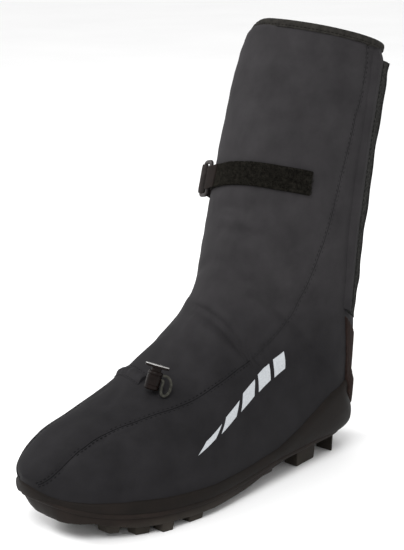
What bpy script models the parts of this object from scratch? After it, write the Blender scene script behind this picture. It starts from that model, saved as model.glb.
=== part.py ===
"""Left cycling overshoe: a coated fabric gaiter with a rubber rand on a lugged rubber sole."""
import bmesh
import bpy
import numpy as np
from mathutils import Matrix, Vector

MM = 0.001

# Driving sizes, in millimetres
LENGTH = 300.0
BALL_WIDTH = 108.0
INSTEP_HEIGHT = 123.0
SHAFT_HEIGHT = 332.0
ANKLE_WIDTH = 106.0
UPPER_WALL = 1.6
FIT_GAP = 0.35
RAND_THICK = 1.8
RAND_GAP = 0.6
PLATE_REACH = 3.2
PLATE_LIP = 3.2
PLATE_STEP = 1.2
PLATE_DRAFT = 0.8
TOE_TUCK = 9.0
HEEL_TUCK = 11.0
LUG_TAPER = 1.4
LUG_ROOT = 3.0
HEM_THICK = 0.75
HEM_DEPTH = 5.6
HEM_GAP = 0.75
STRAP_WIDTH = 17.5
STRAP_THICK = 2.0
RING_LENGTH = 28.0
RING_WIDTH = 11.0
RING_THICK = 2.6
RING_BAR = 3.0
RING_STAND = 30.0
CLOSURE_THICK = 2.6
CHANNEL_BULGE = 1.7
LOCK_RADIUS = 5.2
LOCK_LENGTH = 13.0
LOCK_BORE = 3.6
LOCK_DEPTH = 9.5
STEM_RADIUS = 3.53
STEM_LENGTH = 9.0
PRESS = 2.0
CAP_LENGTH = 17.0
CAP_WIDTH = 8.5
CAP_THICK = 2.2
CORD_RADIUS = 1.0

# Station and offset to the outer side of the middle of the whole part
MIDDLE = 136.98
SIDE = 2.09

# Sections of the form from the toe tip to the collar.
# Stations run forward from the back of the heel, in percent of the length. Foot heights are in
# percent of the instep height and shaft heights in percent of the shaft height. Reaches are in
# percent of the ball width on the foot and of the ankle width on the shaft.
# edge: where the section leaves the sole (on the shaft: the back line); crest: its upper end;
# outer, inner: how far it reaches to each side; tuck: how far the edge lies inside that reach, in mm;
# wide: the part of its height at which it is widest; full: roundness power; bend: crest off the middle;
# swell: how late the side swells out above the edge
FOOT_COLUMNS = ("edge_at", "edge_up", "crest_at", "crest_up", "outer", "inner", "tuck_out", "tuck_in",
                "wide", "full", "bend", "swell")
FOOT = [
    (98.6, 24.0, 101.2, 36.6, -8.3, 8.3, 0, 0, 0.60, 2.00, -8.3, 1.0),
    (97.9, 23.4, 99.3, 43.7, 9.5, 22.8, 3, 4, 0.50, 2.00, -8.3, 1.0),
    (96.0, 21.4, 95.2, 50.2, 20.5, 30.6, 4, 5, 0.44, 2.10, -8.3, 1.0),
    (92.0, 18.3, 89.0, 56.0, 32.0, 38.4, 4, 5, 0.40, 2.10, -8.3, 1.0),
    (85.0, 15.0, 81.0, 61.5, 42.0, 45.4, 3, 4, 0.36, 2.10, -7.4, 1.0),
    (75.0, 13.0, 72.0, 68.5, 50.0, 48.6, 3, 3, 0.34, 2.10, -7.4, 1.0),
    (63.3, 12.2, 64.0, 77.8, 52.8, 47.2, 4, 4, 0.33, 2.10, -6.5, 1.0),
    (50.0, 13.6, 57.0, 89.5, 50.0, 43.5, 5, 8, 0.32, 2.10, -5.6, 1.0),
    (35.0, 16.5, 51.7, 100.0, 46.3, 41.7, 6, 10, 0.33, 2.10, -4.6, 1.1),
    (20.0, 17.0, 48.0, 108.1, 43.5, 41.7, 8, 9, 0.36, 2.05, -3.7, 1.2),
    (8.3, 15.6, 45.7, 115.4, 44.4, 42.6, 17, 16, 0.40, 2.00, -2.8, 1.05),
    (2.0, 14.6, 44.0, 122.8, 46.3, 45.4, 34, 33, 0.44, 2.00, -1.9, 0.95),
]
SHAFT_COLUMNS = ("edge_at", "edge_up", "crest_at", "crest_up", "outer", "inner", "dip")
SHAFT = [
    (0.0, 5.4, 43.0, 47.3, 49.1, 48.1, 0.0),
    (-0.7, 13.5, 41.7, 50.9, 50.0, 49.1, 0.0),
    (-1.0, 24.0, 40.0, 54.8, 50.9, 50.0, 0.0),
    (-1.3, 35.9, 38.0, 59.9, 50.9, 50.0, 0.0),
    (-2.7, 50.9, 34.7, 69.2, 50.0, 50.9, 0.0),
    (-5.0, 68.9, 30.3, 81.4, 50.0, 50.9, 0.0),
    (-8.0, 85.3, 25.7, 93.7, 50.0, 50.5, 0.14),
    (-9.3, 91.9, 23.0, 100.0, 49.1, 41.5, 0.55),
]
# Where the shaft's sections start in the joined table
HEEL = len(FOOT)
TOP = len(FOOT) + len(SHAFT) - 1
# Part of the way round, from the edge, at which a section is widest
LOW = 0.36

# Top line of the rand: station in percent of the length, height in mm
RAND_TOP = [
    (-2.0, 66.0), (8.0, 65.0), (12.0, 63.0), (17.0, 57.0), (22.0, 47.0), (28.0, 37.5), (37.0, 28.5),
    (50.0, 24.5), (62.0, 23.5), (75.0, 25.0), (86.0, 28.5), (93.0, 32.5), (98.0, 37.0), (100.0, 39.5),
]
# How much lower that line runs round the toe on the outer and on the inner side: section number, mm
RAND_DIPS = (
    [(0.0, 1.5), (0.3, 3.6), (0.8, 4.9), (1.5, 5.3), (2.0, 5.1), (3.0, 3.1), (4.0, 0.8), (5.0, 0.0)],
    [(0.0, 1.5), (0.5, 0.0)],
)
RAND_FOOT = 0.08
RAND_END = 13.55
# Section numbers at which the foot is faceted, the same for the upper and the rand
FOOT_STATIONS = np.concatenate([[0, 0.25, 0.5, 0.8], np.linspace(1.2, 8, 14), np.linspace(8.4, 11, 8),
                                [11.25, 11.5, 11.75, 12.0, 12.25, 12.5, 12.75, 13.0, 13.25, RAND_END]])

# Depth of the sole plate below the upper: section number, depth in mm; the toe bumper is level below
PLATE_DEPTH = [
    (0.0, 16.0), (0.5, 15.7), (1.0, 14.9), (1.5, 14.6), (2.0, 13.3), (2.5, 10.9), (3.0, 8.6), (3.6, 9.6),
    (4.2, 10.3), (7.0, 9.6), (7.8, 6.6), (8.3, 4.6), (12.0, 4.8),
]
# Sections over which the plate's side tucks in below the toe and below the heel
TUCK_SPAN = 2.5
# Sections between which the tuck below the toe fades out on the inner side
INNER_FADE = (2.2, 4.2)
# Station and offset of the place that the toe tucks in towards
TOE_CENTRE = (262.0, -9.0)

# Lugs: first and last station, distance of both flanks from the outer edge as a part of the sole's
# breadth, lowest height in mm
LUGS = [
    (257, 266, 0.05, 0.22, 3.6), (257, 266, 0.35, 0.65, 3.6), (257, 266, 0.78, 0.95, 3.6),
    (237, 249, 0.03, 0.15, 0.0), (237, 249, 0.85, 0.97, 0.0),
    (237, 249, 0.29, 0.44, 0.6), (237, 249, 0.56, 0.71, 0.6),
    (222, 233, -0.02, 0.10, 0.0), (222, 233, 0.90, 1.02, 0.0),
    (220, 231, 0.26, 0.42, 0.0), (220, 231, 0.58, 0.74, 0.0),
    (193, 208, 0.00, 0.12, 0.0), (193, 208, 0.88, 1.00, 0.0),
    (197, 209, 0.26, 0.42, 0.0), (197, 209, 0.58, 0.74, 0.0),
    (172, 183, 0.20, 0.40, 0.0), (172, 183, 0.60, 0.80, 0.0),
    (47, 74, 0.08, 0.28, 0.0), (47, 74, 0.72, 0.92, 0.0),
    (5, 29, 0.01, 0.30, 0.0), (5, 29, 0.70, 0.99, 0.0),
]
ARCH_RIB = (110, 124, 0.01, 0.20, 9.0)

# Calf strap: part of the way round, section number of its middle line
STRAP_LINE = [(0.58, 16.08), (0.75, 15.97), (0.90, 15.90), (1.14, 15.78), (1.24, 15.76)]
RING_PLACE = (15.80, 1.30)
ANCHOR_SPAN = (15.52, 16.0, 1.35, 1.50)
# Rear closure: section number, breadth in mm
CLOSURE = [(14.1, 13.0), (15.0, 16.0), (16.0, 18.5), (17.0, 20.0), (18.42, 21.5)]
CLOSURE_FRONT = 0.30
HEEL_TAPE_SPAN = (13.12, 13.95, 0.21, 0.29)
CHANNEL_SPAN = (5.36, 5.80, 0.95, 1.42)
CHANNEL_SLANT = 1.5
LOCK_PLACE = (5.516, 0.861)
LOCK_STANDOFF = 3.6
# Turns of the lock in degrees: off the instep, to the inner side, and round its own axis
LOCK_TILT = 44.0
LOCK_LEAN = 13.0
LOCK_TURN = 50.0
# Drawcord loop from hole to hole, in the lock's frame: out of the hole, across it, up the barrel
CORD_ROUTE = [
    (5.55, 0.0, 4.8), (7.7, -0.3, 5.2), (10.6, -0.9, 4.2), (12.7, -1.6, 0.8), (13.0, -2.3, -3.6),
    (11.7, -2.8, -7.3), (9.4, -3.0, -8.6), (7.3, -2.8, -7.0), (6.8, -2.3, -3.6), (6.9, -1.5, -0.4),
    (6.7, -0.6, 1.4), (5.55, 0.0, 1.8),
]


def joined_table():
    """Both tables as one array in millimetres."""
    rows = []
    for line in FOOT:
        r = dict(zip(FOOT_COLUMNS, line))
        outer = r["outer"] / 100 * BALL_WIDTH
        inner = r["inner"] / 100 * BALL_WIDTH
        rows.append([r["edge_at"] / 100 * LENGTH, r["edge_up"] / 100 * INSTEP_HEIGHT,
                     r["crest_at"] / 100 * LENGTH, r["crest_up"] / 100 * INSTEP_HEIGHT,
                     outer, inner, outer - r["tuck_out"], inner - r["tuck_in"],
                     r["wide"], r["full"], r["bend"] / 100 * BALL_WIDTH, 0.0, r["swell"]])
    for line in SHAFT:
        r = dict(zip(SHAFT_COLUMNS, line))
        rows.append([r["edge_at"] / 100 * LENGTH, r["edge_up"] / 100 * SHAFT_HEIGHT,
                     r["crest_at"] / 100 * LENGTH, r["crest_up"] / 100 * SHAFT_HEIGHT,
                     r["outer"] / 100 * ANKLE_WIDTH, r["inner"] / 100 * ANKLE_WIDTH, 0.0, 0.0,
                     0.5, 2.0, 0.0, r["dip"], 1.0])
    return np.array(rows)


COLUMNS = ("edge_at", "edge_z", "crest_at", "crest_z", "outer", "inner", "edge_out", "edge_in",
           "wide", "full", "bend", "dip", "swell")
TABLE = joined_table()


def table_slopes():
    """Slopes on leaving and on reaching each section; toe and heel run square across the shoe."""
    step = np.diff(TABLE, axis=0)
    both = step[:-1] * step[1:]
    mean = np.where(both > 0, step[:-1] + step[1:], 1.0)
    middle = np.where(both > 0, 2 * both / mean, 0.0)
    leave = np.vstack([step[:1], middle, step[-1:]])
    reach = leave.copy()
    leave[0, 0:4] = 0.0
    leave[0, 4:8] = 1.5 * step[0, 4:8]
    reach[HEEL, 0] = 0.0
    reach[HEEL, 6:8] = 1.5 * step[HEEL - 1, 6:8]
    leave[HEEL, 0] = step[HEEL, 0]
    reach[HEEL, 12] = 1.55 * step[HEEL - 1, 12]
    return leave, reach


LEAVE, REACH = table_slopes()


def section(at):
    """Named sizes of the section at a fractional section number."""
    at = np.clip(np.asarray(at, float), 0, TOP)
    i = np.minimum(at.astype(int), TOP - 1)
    f = (at - i)[..., None]
    r = ((2 * f**3 - 3 * f**2 + 1) * TABLE[i] + (f**3 - 2 * f**2 + f) * LEAVE[i]
         + (3 * f**2 - 2 * f**3) * TABLE[i + 1] + (f**3 - f**2) * REACH[i + 1])
    return dict(zip(COLUMNS, np.moveaxis(r, -1, 0)))


def surface(at, around):
    """Outside of the upper: around runs from the outer edge (0) over the crest (1) to the inner edge (2)."""
    at, around = np.broadcast_arrays(np.asarray(at, float), np.asarray(around, float))
    r = section(at)
    up = np.where(around > 1, 2 - around, around)
    low = np.clip(up / LOW, 0, 1) * np.pi / 2
    high = np.clip((up - LOW) / (1 - LOW), 0, 1) * np.pi / 2
    reach = np.where(around <= 1, r["outer"], -r["inner"]) - r["bend"]
    foot = np.where(around <= 1, r["edge_out"], -r["edge_in"]) - r["bend"]
    foot = np.where(at >= HEEL, -r["bend"], foot)
    power = 2 / r["full"]
    wide = r["wide"]
    tall = np.where(up < LOW, wide * (1 - np.cos(low)), wide + (1 - wide) * np.sin(high)**power)
    side = np.where(up < LOW, foot + (reach - foot) * np.sin(low)**r["swell"], reach * np.cos(high)**power)
    side = side + r["bend"]
    drop = r["dip"] * np.minimum(side, 0)**2 / (ANKLE_WIDTH / 2)
    return np.stack([r["edge_at"] + (r["crest_at"] - r["edge_at"]) * tall, side,
                     r["edge_z"] + (r["crest_z"] - r["edge_z"]) * tall - drop], -1)


def unit(v):
    return v / np.linalg.norm(v, axis=-1, keepdims=True)


def along(at, around):
    """Direction along the shoe, from the toe towards the collar."""
    e = 0.004
    return unit(surface(np.clip(at + e, 0, TOP), around) - surface(np.clip(at - e, 0, TOP), around))


def across(at, around):
    """Direction round the section, from the outer edge towards the inner edge."""
    e = 0.004
    return unit(surface(at, np.clip(around + e, 0, 2)) - surface(at, np.clip(around - e, 0, 2)))


def outward(at, around):
    at, around = np.broadcast_arrays(np.asarray(at, float), np.asarray(around, float))
    return unit(np.cross(along(at, around), across(at, around)))


def world(points):
    """Section millimetres to metres: toe to -X, outer side to -Y."""
    p = np.asarray(points, float) * MM
    return np.stack([MIDDLE * MM - p[..., 0], SIDE * MM - p[..., 1], p[..., 2]], -1)


def material(name, colour, rough, coat=0.0):
    m = bpy.data.materials.new(name)
    m.use_nodes = True
    shader = m.node_tree.nodes["Principled BSDF"]
    shader.inputs["Base Color"].default_value = (*colour, 1.0)
    shader.inputs["Roughness"].default_value = rough
    shader.inputs["Coat Weight"].default_value = coat
    m.diffuse_color = (*colour, 1.0)
    return m


def finish(name, bm, mat):
    """Weld, face outwards where closed, and link as one named object."""
    bmesh.ops.remove_doubles(bm, verts=bm.verts, dist=0.00002)
    bmesh.ops.dissolve_degenerate(bm, edges=bm.edges, dist=0.00001)
    if all(len(e.link_faces) == 2 for e in bm.edges):
        bmesh.ops.recalc_face_normals(bm, faces=bm.faces)
    mesh = bpy.data.meshes.new(name)
    bm.to_mesh(mesh)
    bm.free()
    mesh.materials.append(mat)
    ob = bpy.data.objects.new(name, mesh)
    bpy.context.collection.objects.link(ob)
    return ob


def grid_faces(bm, rows, wrap=False):
    """Quads over a grid of vertices, facing along x across."""
    for a, b in zip(rows[:-1], rows[1:]):
        count = len(a) if wrap else len(a) - 1
        for j in range(count):
            k = (j + 1) % len(a)
            bm.faces.new((a[j], b[j], b[k], a[k]))


def skin(name, at, around, lift, thick, mat):
    """Sheet on the upper's own surface, lifted off it and thickened outwards (inwards if negative)."""
    bm = bmesh.new()
    points = world(surface(at, around))
    rows = [[bm.verts.new(p) for p in line] for line in points]
    grid_faces(bm, rows)
    bmesh.ops.remove_doubles(bm, verts=bm.verts, dist=0.00002)
    bmesh.ops.dissolve_degenerate(bm, edges=bm.edges, dist=0.00001)
    bm.normal_update()
    moves = [v.normal * lift * MM for v in bm.verts]
    for v, m in zip(bm.verts, moves):
        v.co += m
    mesh = bpy.data.meshes.new(name)
    bm.to_mesh(mesh)
    bm.free()
    mesh.materials.append(mat)
    ob = bpy.data.objects.new(name, mesh)
    bpy.context.collection.objects.link(ob)
    solid = ob.modifiers.new("Thickness", "SOLIDIFY")
    solid.thickness = abs(thick) * MM
    solid.offset = 1.0 if thick > 0 else -1.0
    solid.use_even_offset = True
    solid.use_quality_normals = True
    return ob


def slab(name, under, over, mat):
    """Closed body between two grids of points, the second lying outside the first."""
    bm = bmesh.new()
    low = [[bm.verts.new(p) for p in line] for line in world(under)]
    top = [[bm.verts.new(p) for p in line] for line in world(over)]
    grid_faces(bm, top)
    grid_faces(bm, [line[::-1] for line in low])
    rim = [(i, 0) for i in range(len(low))]
    rim += [(len(low) - 1, j) for j in range(1, len(low[0]))]
    rim += [(i, len(low[0]) - 1) for i in range(len(low) - 2, -1, -1)]
    rim += [(0, j) for j in range(len(low[0]) - 2, 0, -1)]
    for (i, j), (k, m) in zip(rim, rim[1:] + rim[:1]):
        bm.faces.new((top[i][j], low[i][j], low[k][m], top[k][m]))
    return finish(name, bm, mat)


def edge_line(at, side):
    """Edge of the upper in plan and its outward direction; side is 0 outer or 2 inner."""
    e = 0.004
    p = surface(at, side)
    d = surface(np.clip(at + e, 0, HEEL - 1e-6), side) - surface(np.clip(at - e, 0, HEEL - 1e-6), side)
    d[..., 2] = 0
    n = np.stack([d[..., 1], -d[..., 0], np.zeros_like(d[..., 0])], -1)
    n *= np.where(side == 0, 1.0, -1.0)
    n = unit(n)
    n[at <= 0.001] = (1, 0, 0)
    n[at >= HEEL - 0.001] = (-1, 0, 0)
    return p, n


def build_sole(mat):
    """Sole plate with a stepped side wall, a deeper toe bumper and tapered lugs below."""
    depth_table = np.array(PLATE_DEPTH)
    behind = FOOT_STATIONS[(FOOT_STATIONS > 3.6) & (FOOT_STATIONS <= HEEL)]
    at = np.concatenate([np.linspace(0, 2.2, 9), [2.8, 3.45], behind])
    deep = np.interp(at, depth_table[:, 0], depth_table[:, 1])
    edges = [edge_line(np.minimum(at, HEEL - 1e-6), side) for side in (0, 2)]
    fade = (INNER_FADE[1] - at) / (INNER_FADE[1] - INNER_FADE[0])
    toe_tucks = (TOE_TUCK * np.clip(1 - at / TUCK_SPAN, 0, 1) ** 0.8, TOE_TUCK * np.clip(fade, 0, 1))
    heel_tuck = HEEL_TUCK * np.clip(1 - (HEEL - at) / TUCK_SPAN, 0, 1)
    step = PLATE_REACH - PLATE_STEP
    level = np.ones_like(at)
    levels = [(PLATE_REACH, 0.25, FIT_GAP * level), (PLATE_REACH, 0.3, PLATE_LIP * level),
              (step, 0.35, (PLATE_LIP + 0.4) * level), (step - PLATE_DRAFT, 1.0, deep)]
    bm = bmesh.new()
    loops = []
    for reach, share, depth in levels:
        both = []
        for (p, n), toe_tuck in zip(edges, toe_tucks):
            inward = unit((np.array([*TOE_CENTRE, 0.0]) - p) * np.array([1, 1, 0]))
            q = p + n * (reach - share * heel_tuck)[:, None] + inward * (share * toe_tuck)[:, None]
            q[:, 2] -= depth
            both.append([bm.verts.new(v) for v in world(q)])
        loops.append(both)
    for (a0, b0), (a1, b1) in zip(loops[:-1], loops[1:]):
        for i in range(len(at) - 1):
            bm.faces.new((a0[i], a1[i], a1[i + 1], a0[i + 1]))
            bm.faces.new((b0[i + 1], b1[i + 1], b1[i], b0[i]))
    for (a, b), flip in ((loops[0], False), (loops[-1], True)):
        for i in range(len(at) - 1):
            quad = (a[i], a[i + 1], b[i + 1], b[i])
            bm.faces.new(quad[::-1] if flip else quad)
    plate = finish("outsole", bm, mat)
    dense = np.linspace(0, HEEL - 1e-6, 400)
    line_out = surface(dense, 0)
    line_in = surface(dense, 2)
    order = np.argsort(line_out[:, 0])

    def read(line, s, column):
        return np.interp(s, line[order, 0], line[order, column])

    bm = bmesh.new()
    for first, last, near, far, lowest in LUGS + [ARCH_RIB]:
        ring = []
        corners = ((first, near, (1, 1)), (last, near, (-1, 1)), (last, far, (-1, -1)), (first, far, (1, -1)))
        for s, part, push in corners:
            w_out = read(line_out, s, 1)
            w_in = read(line_in, s, 1)
            w = w_out + (w_in - w_out) * part
            root = read(line_out, s, 2) - LUG_ROOT
            ring.append(((s, w, root), (s + push[0] * LUG_TAPER, w - push[1] * LUG_TAPER, lowest)))
        roots = [bm.verts.new(p) for p in world([r[0] for r in ring])]
        feet = [bm.verts.new(p) for p in world([r[1] for r in ring])]
        bm.faces.new(roots)
        bm.faces.new(feet[::-1])
        for i in range(4):
            k = (i + 1) % 4
            bm.faces.new((roots[i], feet[i], feet[k], roots[k]))
    lugs = finish("lug_blocks", bm, mat)
    cut = plate.modifiers.new("Lugs", "BOOLEAN")
    cut.operation = "UNION"
    cut.solver = "EXACT"
    cut.object = lugs
    lugs.hide_render = True
    lugs.display_type = "WIRE"
    return plate


def build_upper(mat):
    """One hollow wall from the sole to the collar, open at both."""
    at = np.concatenate([FOOT_STATIONS, np.linspace(RAND_END + 0.45, TOP, 10)])
    half = np.concatenate([np.linspace(0, LOW, 7), np.linspace(LOW, 1, 8)[1:]])
    around = np.concatenate([half, 2 - half[-2::-1]])
    grid_at, grid_round = np.meshgrid(at, around, indexing="ij")
    return skin("upper", grid_at, grid_round, 0.0, -UPPER_WALL, mat)


def build_rand(mat):
    """Rubber band round the foot that rises to a patch at the heel."""
    line = np.array(RAND_TOP)
    at = np.sort(np.concatenate([FOOT_STATIONS, RAND_END - np.array([0.05, 0.11, 0.18])]))
    tries = np.linspace(0, 0.5, 120)
    start = np.where(at < HEEL, RAND_FOOT * (1 - 0.2 * np.clip(1 - at / 3, 0, 1)), 0.0)
    start = np.where((at > HEEL - 1) & (at < HEEL), RAND_FOOT * np.maximum(HEEL - at, 0) ** 0.5, start)
    steps = np.linspace(0, 1, 8)
    grid_at = np.repeat(at[:, None], len(steps), 1)
    bm = bmesh.new()
    for flip, dips in zip((False, True), RAND_DIPS):
        lower = np.interp(at, *np.transpose(dips))
        top = np.empty(len(at))
        for i, a in enumerate(at):
            p = surface(a, tries)
            above = p[:, 2] + lower[i] - np.interp(p[:, 0] / LENGTH * 100, line[:, 0], line[:, 1])
            top[i] = max(np.interp(0.0, above, tries), 0.05)
        side = start[:, None] + (top - start)[:, None] * steps
        points = world(surface(grid_at, 2 - side if flip else side))
        rows = [[bm.verts.new(p) for p in (line[::-1] if flip else line)] for line in points]
        grid_faces(bm, rows)
    bmesh.ops.remove_doubles(bm, verts=bm.verts, dist=0.00002)
    bmesh.ops.dissolve_degenerate(bm, edges=bm.edges, dist=0.00001)
    bm.normal_update()
    moves = [v.normal * RAND_GAP * MM for v in bm.verts]
    for v, m in zip(bm.verts, moves):
        v.co += m
    mesh = bpy.data.meshes.new("rand")
    bm.to_mesh(mesh)
    bm.free()
    mesh.materials.append(mat)
    ob = bpy.data.objects.new("rand", mesh)
    bpy.context.collection.objects.link(ob)
    solid = ob.modifiers.new("Thickness", "SOLIDIFY")
    solid.thickness = RAND_THICK * MM
    solid.offset = 1.0
    solid.use_even_offset = True
    return ob


def build_hem(mat):
    """Binding folded over the collar's rim."""
    around = np.linspace(0, 2, 49)[:-1]
    around = np.where(around == 0, 0.0005, around)
    low_at = TOP - 0.30
    rim = surface(TOP, around)
    n = outward(TOP - 0.002, around)
    low = surface(low_at, around)
    n_low = outward(low_at, around)
    up = along(TOP - 0.002, around)
    low = rim + unit(low - rim) * HEM_DEPTH
    near = HEM_GAP
    far = HEM_GAP + HEM_THICK
    profile = [low + n_low * near, low + n_low * far, rim + n * far + up * far,
               rim - n * (UPPER_WALL + far) + up * far, low - n_low * (UPPER_WALL + far),
               low - n_low * (UPPER_WALL + near), rim - n * (UPPER_WALL + near) + up * near,
               rim + n * near + up * near]
    bm = bmesh.new()
    rows = [[bm.verts.new(p) for p in world(line)] for line in profile]
    for a, b in zip(rows, rows[1:] + rows[:1]):
        for j in range(len(a)):
            k = (j + 1) % len(a)
            bm.faces.new((a[j], b[j], b[k], a[k]))
    return finish("collar_hem", bm, mat)


def patch(name, span, lift, thick, mat, rows=8, columns=8):
    """Rectangle of the surface as a slab."""
    at, around = np.meshgrid(np.linspace(span[0], span[1], rows), np.linspace(span[2], span[3], columns),
                             indexing="ij")
    p = surface(at, around)
    n = outward(at, around)
    return slab(name, p + n * lift, p + n * (lift + thick), mat)


def build_strap(mat):
    """Hook-and-loop strap across the shin."""
    line = np.array(STRAP_LINE)
    around = np.linspace(line[0, 0], line[-1, 0], 20)
    middle = np.interp(around, line[:, 0], line[:, 1])
    pace = np.linalg.norm(surface(middle + 0.1, around) - surface(middle - 0.1, around), axis=-1) / 0.2
    at = middle + np.linspace(-0.5, 0.5, 5)[:, None] * STRAP_WIDTH / pace
    grid = np.broadcast_to(around, at.shape)
    p = surface(at, grid)
    n = outward(at, grid)
    return slab("calf_strap", p + n * FIT_GAP, p + n * (FIT_GAP + STRAP_THICK), mat)


def build_closure(mat):
    """Flat hook-and-loop band down the back, seamed at its front edge and standing off behind."""
    line = np.array(CLOSURE)
    at = np.linspace(line[0, 0], line[-1, 0], 12)
    breadth = np.interp(at, line[:, 0], line[:, 1])
    p = surface(at, CLOSURE_FRONT)
    n = outward(at, CLOSURE_FRONT)
    t = -across(at, CLOSURE_FRONT)
    steps = np.linspace(0, 1, 4)[None, :, None]
    low = (p + n * FIT_GAP)[:, None, :] + t[:, None, :] * breadth[:, None, None] * steps
    top = low + n[:, None, :] * CLOSURE_THICK
    return slab("rear_closure", low[:, ::-1], top[:, ::-1], mat)


def frame_of(origin, x_axis, z_axis):
    """Placement matrix in metres from section directions."""
    turn = np.array([-1.0, -1.0, 1.0])
    z = unit(z_axis) * turn
    x = x_axis * turn
    x = unit(x - z * np.dot(x, z))
    y = np.cross(z, x)
    m = Matrix.Identity(4)
    for i, axis in enumerate((x, y, z)):
        for j in range(3):
            m[j][i] = axis[j]
    m.translation = Vector(world(origin))
    return m


def place(ob, matrix):
    ob.data.transform(matrix)
    return ob


def rounded_ring(radius_x, radius_y, count):
    a = np.linspace(0, 2 * np.pi, count, endpoint=False)
    return np.stack([radius_x * np.cos(a), radius_y * np.sin(a)], -1)


def turned(name, rings, mat):
    """Closed body from rings of (outline, height) in millimetres, capped at both ends."""
    bm = bmesh.new()
    rows = []
    for outline, z in rings:
        rows.append([bm.verts.new((x * MM, y * MM, z * MM)) for x, y in outline])
    for a, b in zip(rows[:-1], rows[1:]):
        for j in range(len(a)):
            k = (j + 1) % len(a)
            bm.faces.new((a[j], a[k], b[k], b[j]))
    bm.faces.new(rows[0][::-1])
    bm.faces.new(rows[-1])
    return finish(name, bm, mat)


def build_ring(mat):
    """Rectangular ring that the strap is drawn through, standing off the shin."""
    at, around = RING_PLACE
    p = surface(at, around)
    n = outward(at, around)
    t = across(at, around)
    up = along(at, around)
    lean = np.radians(RING_STAND)
    wide = t * np.cos(lean) + n * np.sin(lean)
    bm = bmesh.new()
    frame = Matrix.Diagonal((RING_LENGTH * MM, RING_WIDTH * MM, RING_THICK * MM, 1))
    bmesh.ops.create_cube(bm, size=1.0, matrix=frame)
    ring = finish("strap_ring", bm, mat)
    bm = bmesh.new()
    slot = Matrix.Diagonal(((RING_LENGTH - 2 * RING_BAR) * MM, (RING_WIDTH - 2 * RING_BAR) * MM,
                            3 * RING_THICK * MM, 1))
    bmesh.ops.create_cube(bm, size=1.0, matrix=slot)
    hole = finish("ring_slot", bm, mat)
    m = frame_of(p + n * 2.6 + wide * (RING_WIDTH / 2 - 1.0), up, np.cross(up, wide))
    place(ring, m)
    place(hole, m)
    cut = ring.modifiers.new("Slot", "BOOLEAN")
    cut.operation = "DIFFERENCE"
    cut.solver = "EXACT"
    cut.object = hole
    hole.hide_render = True
    hole.display_type = "WIRE"
    return ring


def build_channel(mat):
    """Fabric tunnel for the drawcord across the instep."""
    a0, a1, r0, r1 = CHANNEL_SPAN
    at, around = np.meshgrid(np.linspace(a0, a1, 7), np.linspace(r0, r1, 16), indexing="ij")
    slanted = at + CHANNEL_SLANT * (around - r0)
    p = surface(slanted, around)
    n = outward(slanted, around)
    bulge = 0.5 + CHANNEL_BULGE * np.sin(np.pi * (at - a0) / (a1 - a0))
    return slab("cord_channel", p + n * FIT_GAP, p + n * (FIT_GAP + bulge[..., None]), mat)


def lock_frame():
    """Placement of the cord lock: its axis stands off the instep, its cord hole runs to the outer side."""
    at, around = LOCK_PLACE
    n = outward(at, around)
    up = along(at, around)
    side = across(at, around)
    tilt, lean, turn = np.radians([LOCK_TILT, LOCK_LEAN, LOCK_TURN])
    axis = (up * np.cos(lean) + side * np.sin(lean)) * np.cos(tilt) + n * np.sin(tilt)
    hole = up * np.sin(turn) - side * np.cos(turn)
    return frame_of(surface(at, around) + n * (LOCK_RADIUS + LOCK_STANDOFF), hole, axis)


def build_lock(body_mat, cap_mat):
    """Spring cord lock: a barrel with a blind bore and a push button on a stem."""
    m = lock_frame()
    base = -LOCK_LENGTH / 2
    top = LOCK_LENGTH / 2
    rings = [(rounded_ring(LOCK_RADIUS - 1.0, LOCK_RADIUS - 1.0, 20), base),
             (rounded_ring(LOCK_RADIUS, LOCK_RADIUS, 20), base + 1.0),
             (rounded_ring(LOCK_RADIUS, LOCK_RADIUS, 20), top - 0.6),
             (rounded_ring(LOCK_RADIUS - 0.6, LOCK_RADIUS - 0.6, 20), top),
             (rounded_ring(LOCK_BORE, LOCK_BORE, 20), top),
             (rounded_ring(LOCK_BORE, LOCK_BORE, 20), top - LOCK_DEPTH)]
    body = place(turned("cord_lock_body", rings, body_mat), m)
    stem_top = top + PRESS + 0.4
    rings = [(rounded_ring(STEM_RADIUS, STEM_RADIUS, 20), stem_top - STEM_LENGTH),
             (rounded_ring(STEM_RADIUS, STEM_RADIUS, 20), stem_top),
             (rounded_ring(CAP_LENGTH / 2, CAP_WIDTH / 2, 20), stem_top),
             (rounded_ring(CAP_LENGTH / 2, CAP_WIDTH / 2, 20), stem_top + CAP_THICK - 0.7),
             (rounded_ring(CAP_LENGTH / 2 - 0.7, CAP_WIDTH / 2 - 0.7, 20), stem_top + CAP_THICK)]
    plunger = place(turned("cord_lock_plunger", rings, cap_mat), m)
    return body, plunger, m


def build_cord(mat, m):
    """Elastic drawcord: a loop that leaves the lock on its outer side and comes back to it."""
    route = np.array(CORD_ROUTE)
    near = 0.75 * route[:-1] + 0.25 * route[1:]
    far = 0.25 * route[:-1] + 0.75 * route[1:]
    path = np.vstack([route[:1], np.stack([near, far], 1).reshape(-1, 3), route[-1:]])
    curve = bpy.data.curves.new("drawcord_loop", "CURVE")
    curve.dimensions = "3D"
    curve.bevel_depth = CORD_RADIUS * MM
    curve.bevel_resolution = 2
    curve.use_fill_caps = True
    spline = curve.splines.new("POLY")
    spline.points.add(len(path) - 1)
    for point, place_mm in zip(spline.points, path):
        v = m @ Vector(place_mm * MM)
        point.co = (*v, 1.0)
    curve.materials.append(mat)
    ob = bpy.data.objects.new("drawcord_loop", curve)
    bpy.context.collection.objects.link(ob)
    return ob


for old in list(bpy.data.objects):
    bpy.data.objects.remove(old, do_unlink=True)

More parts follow.
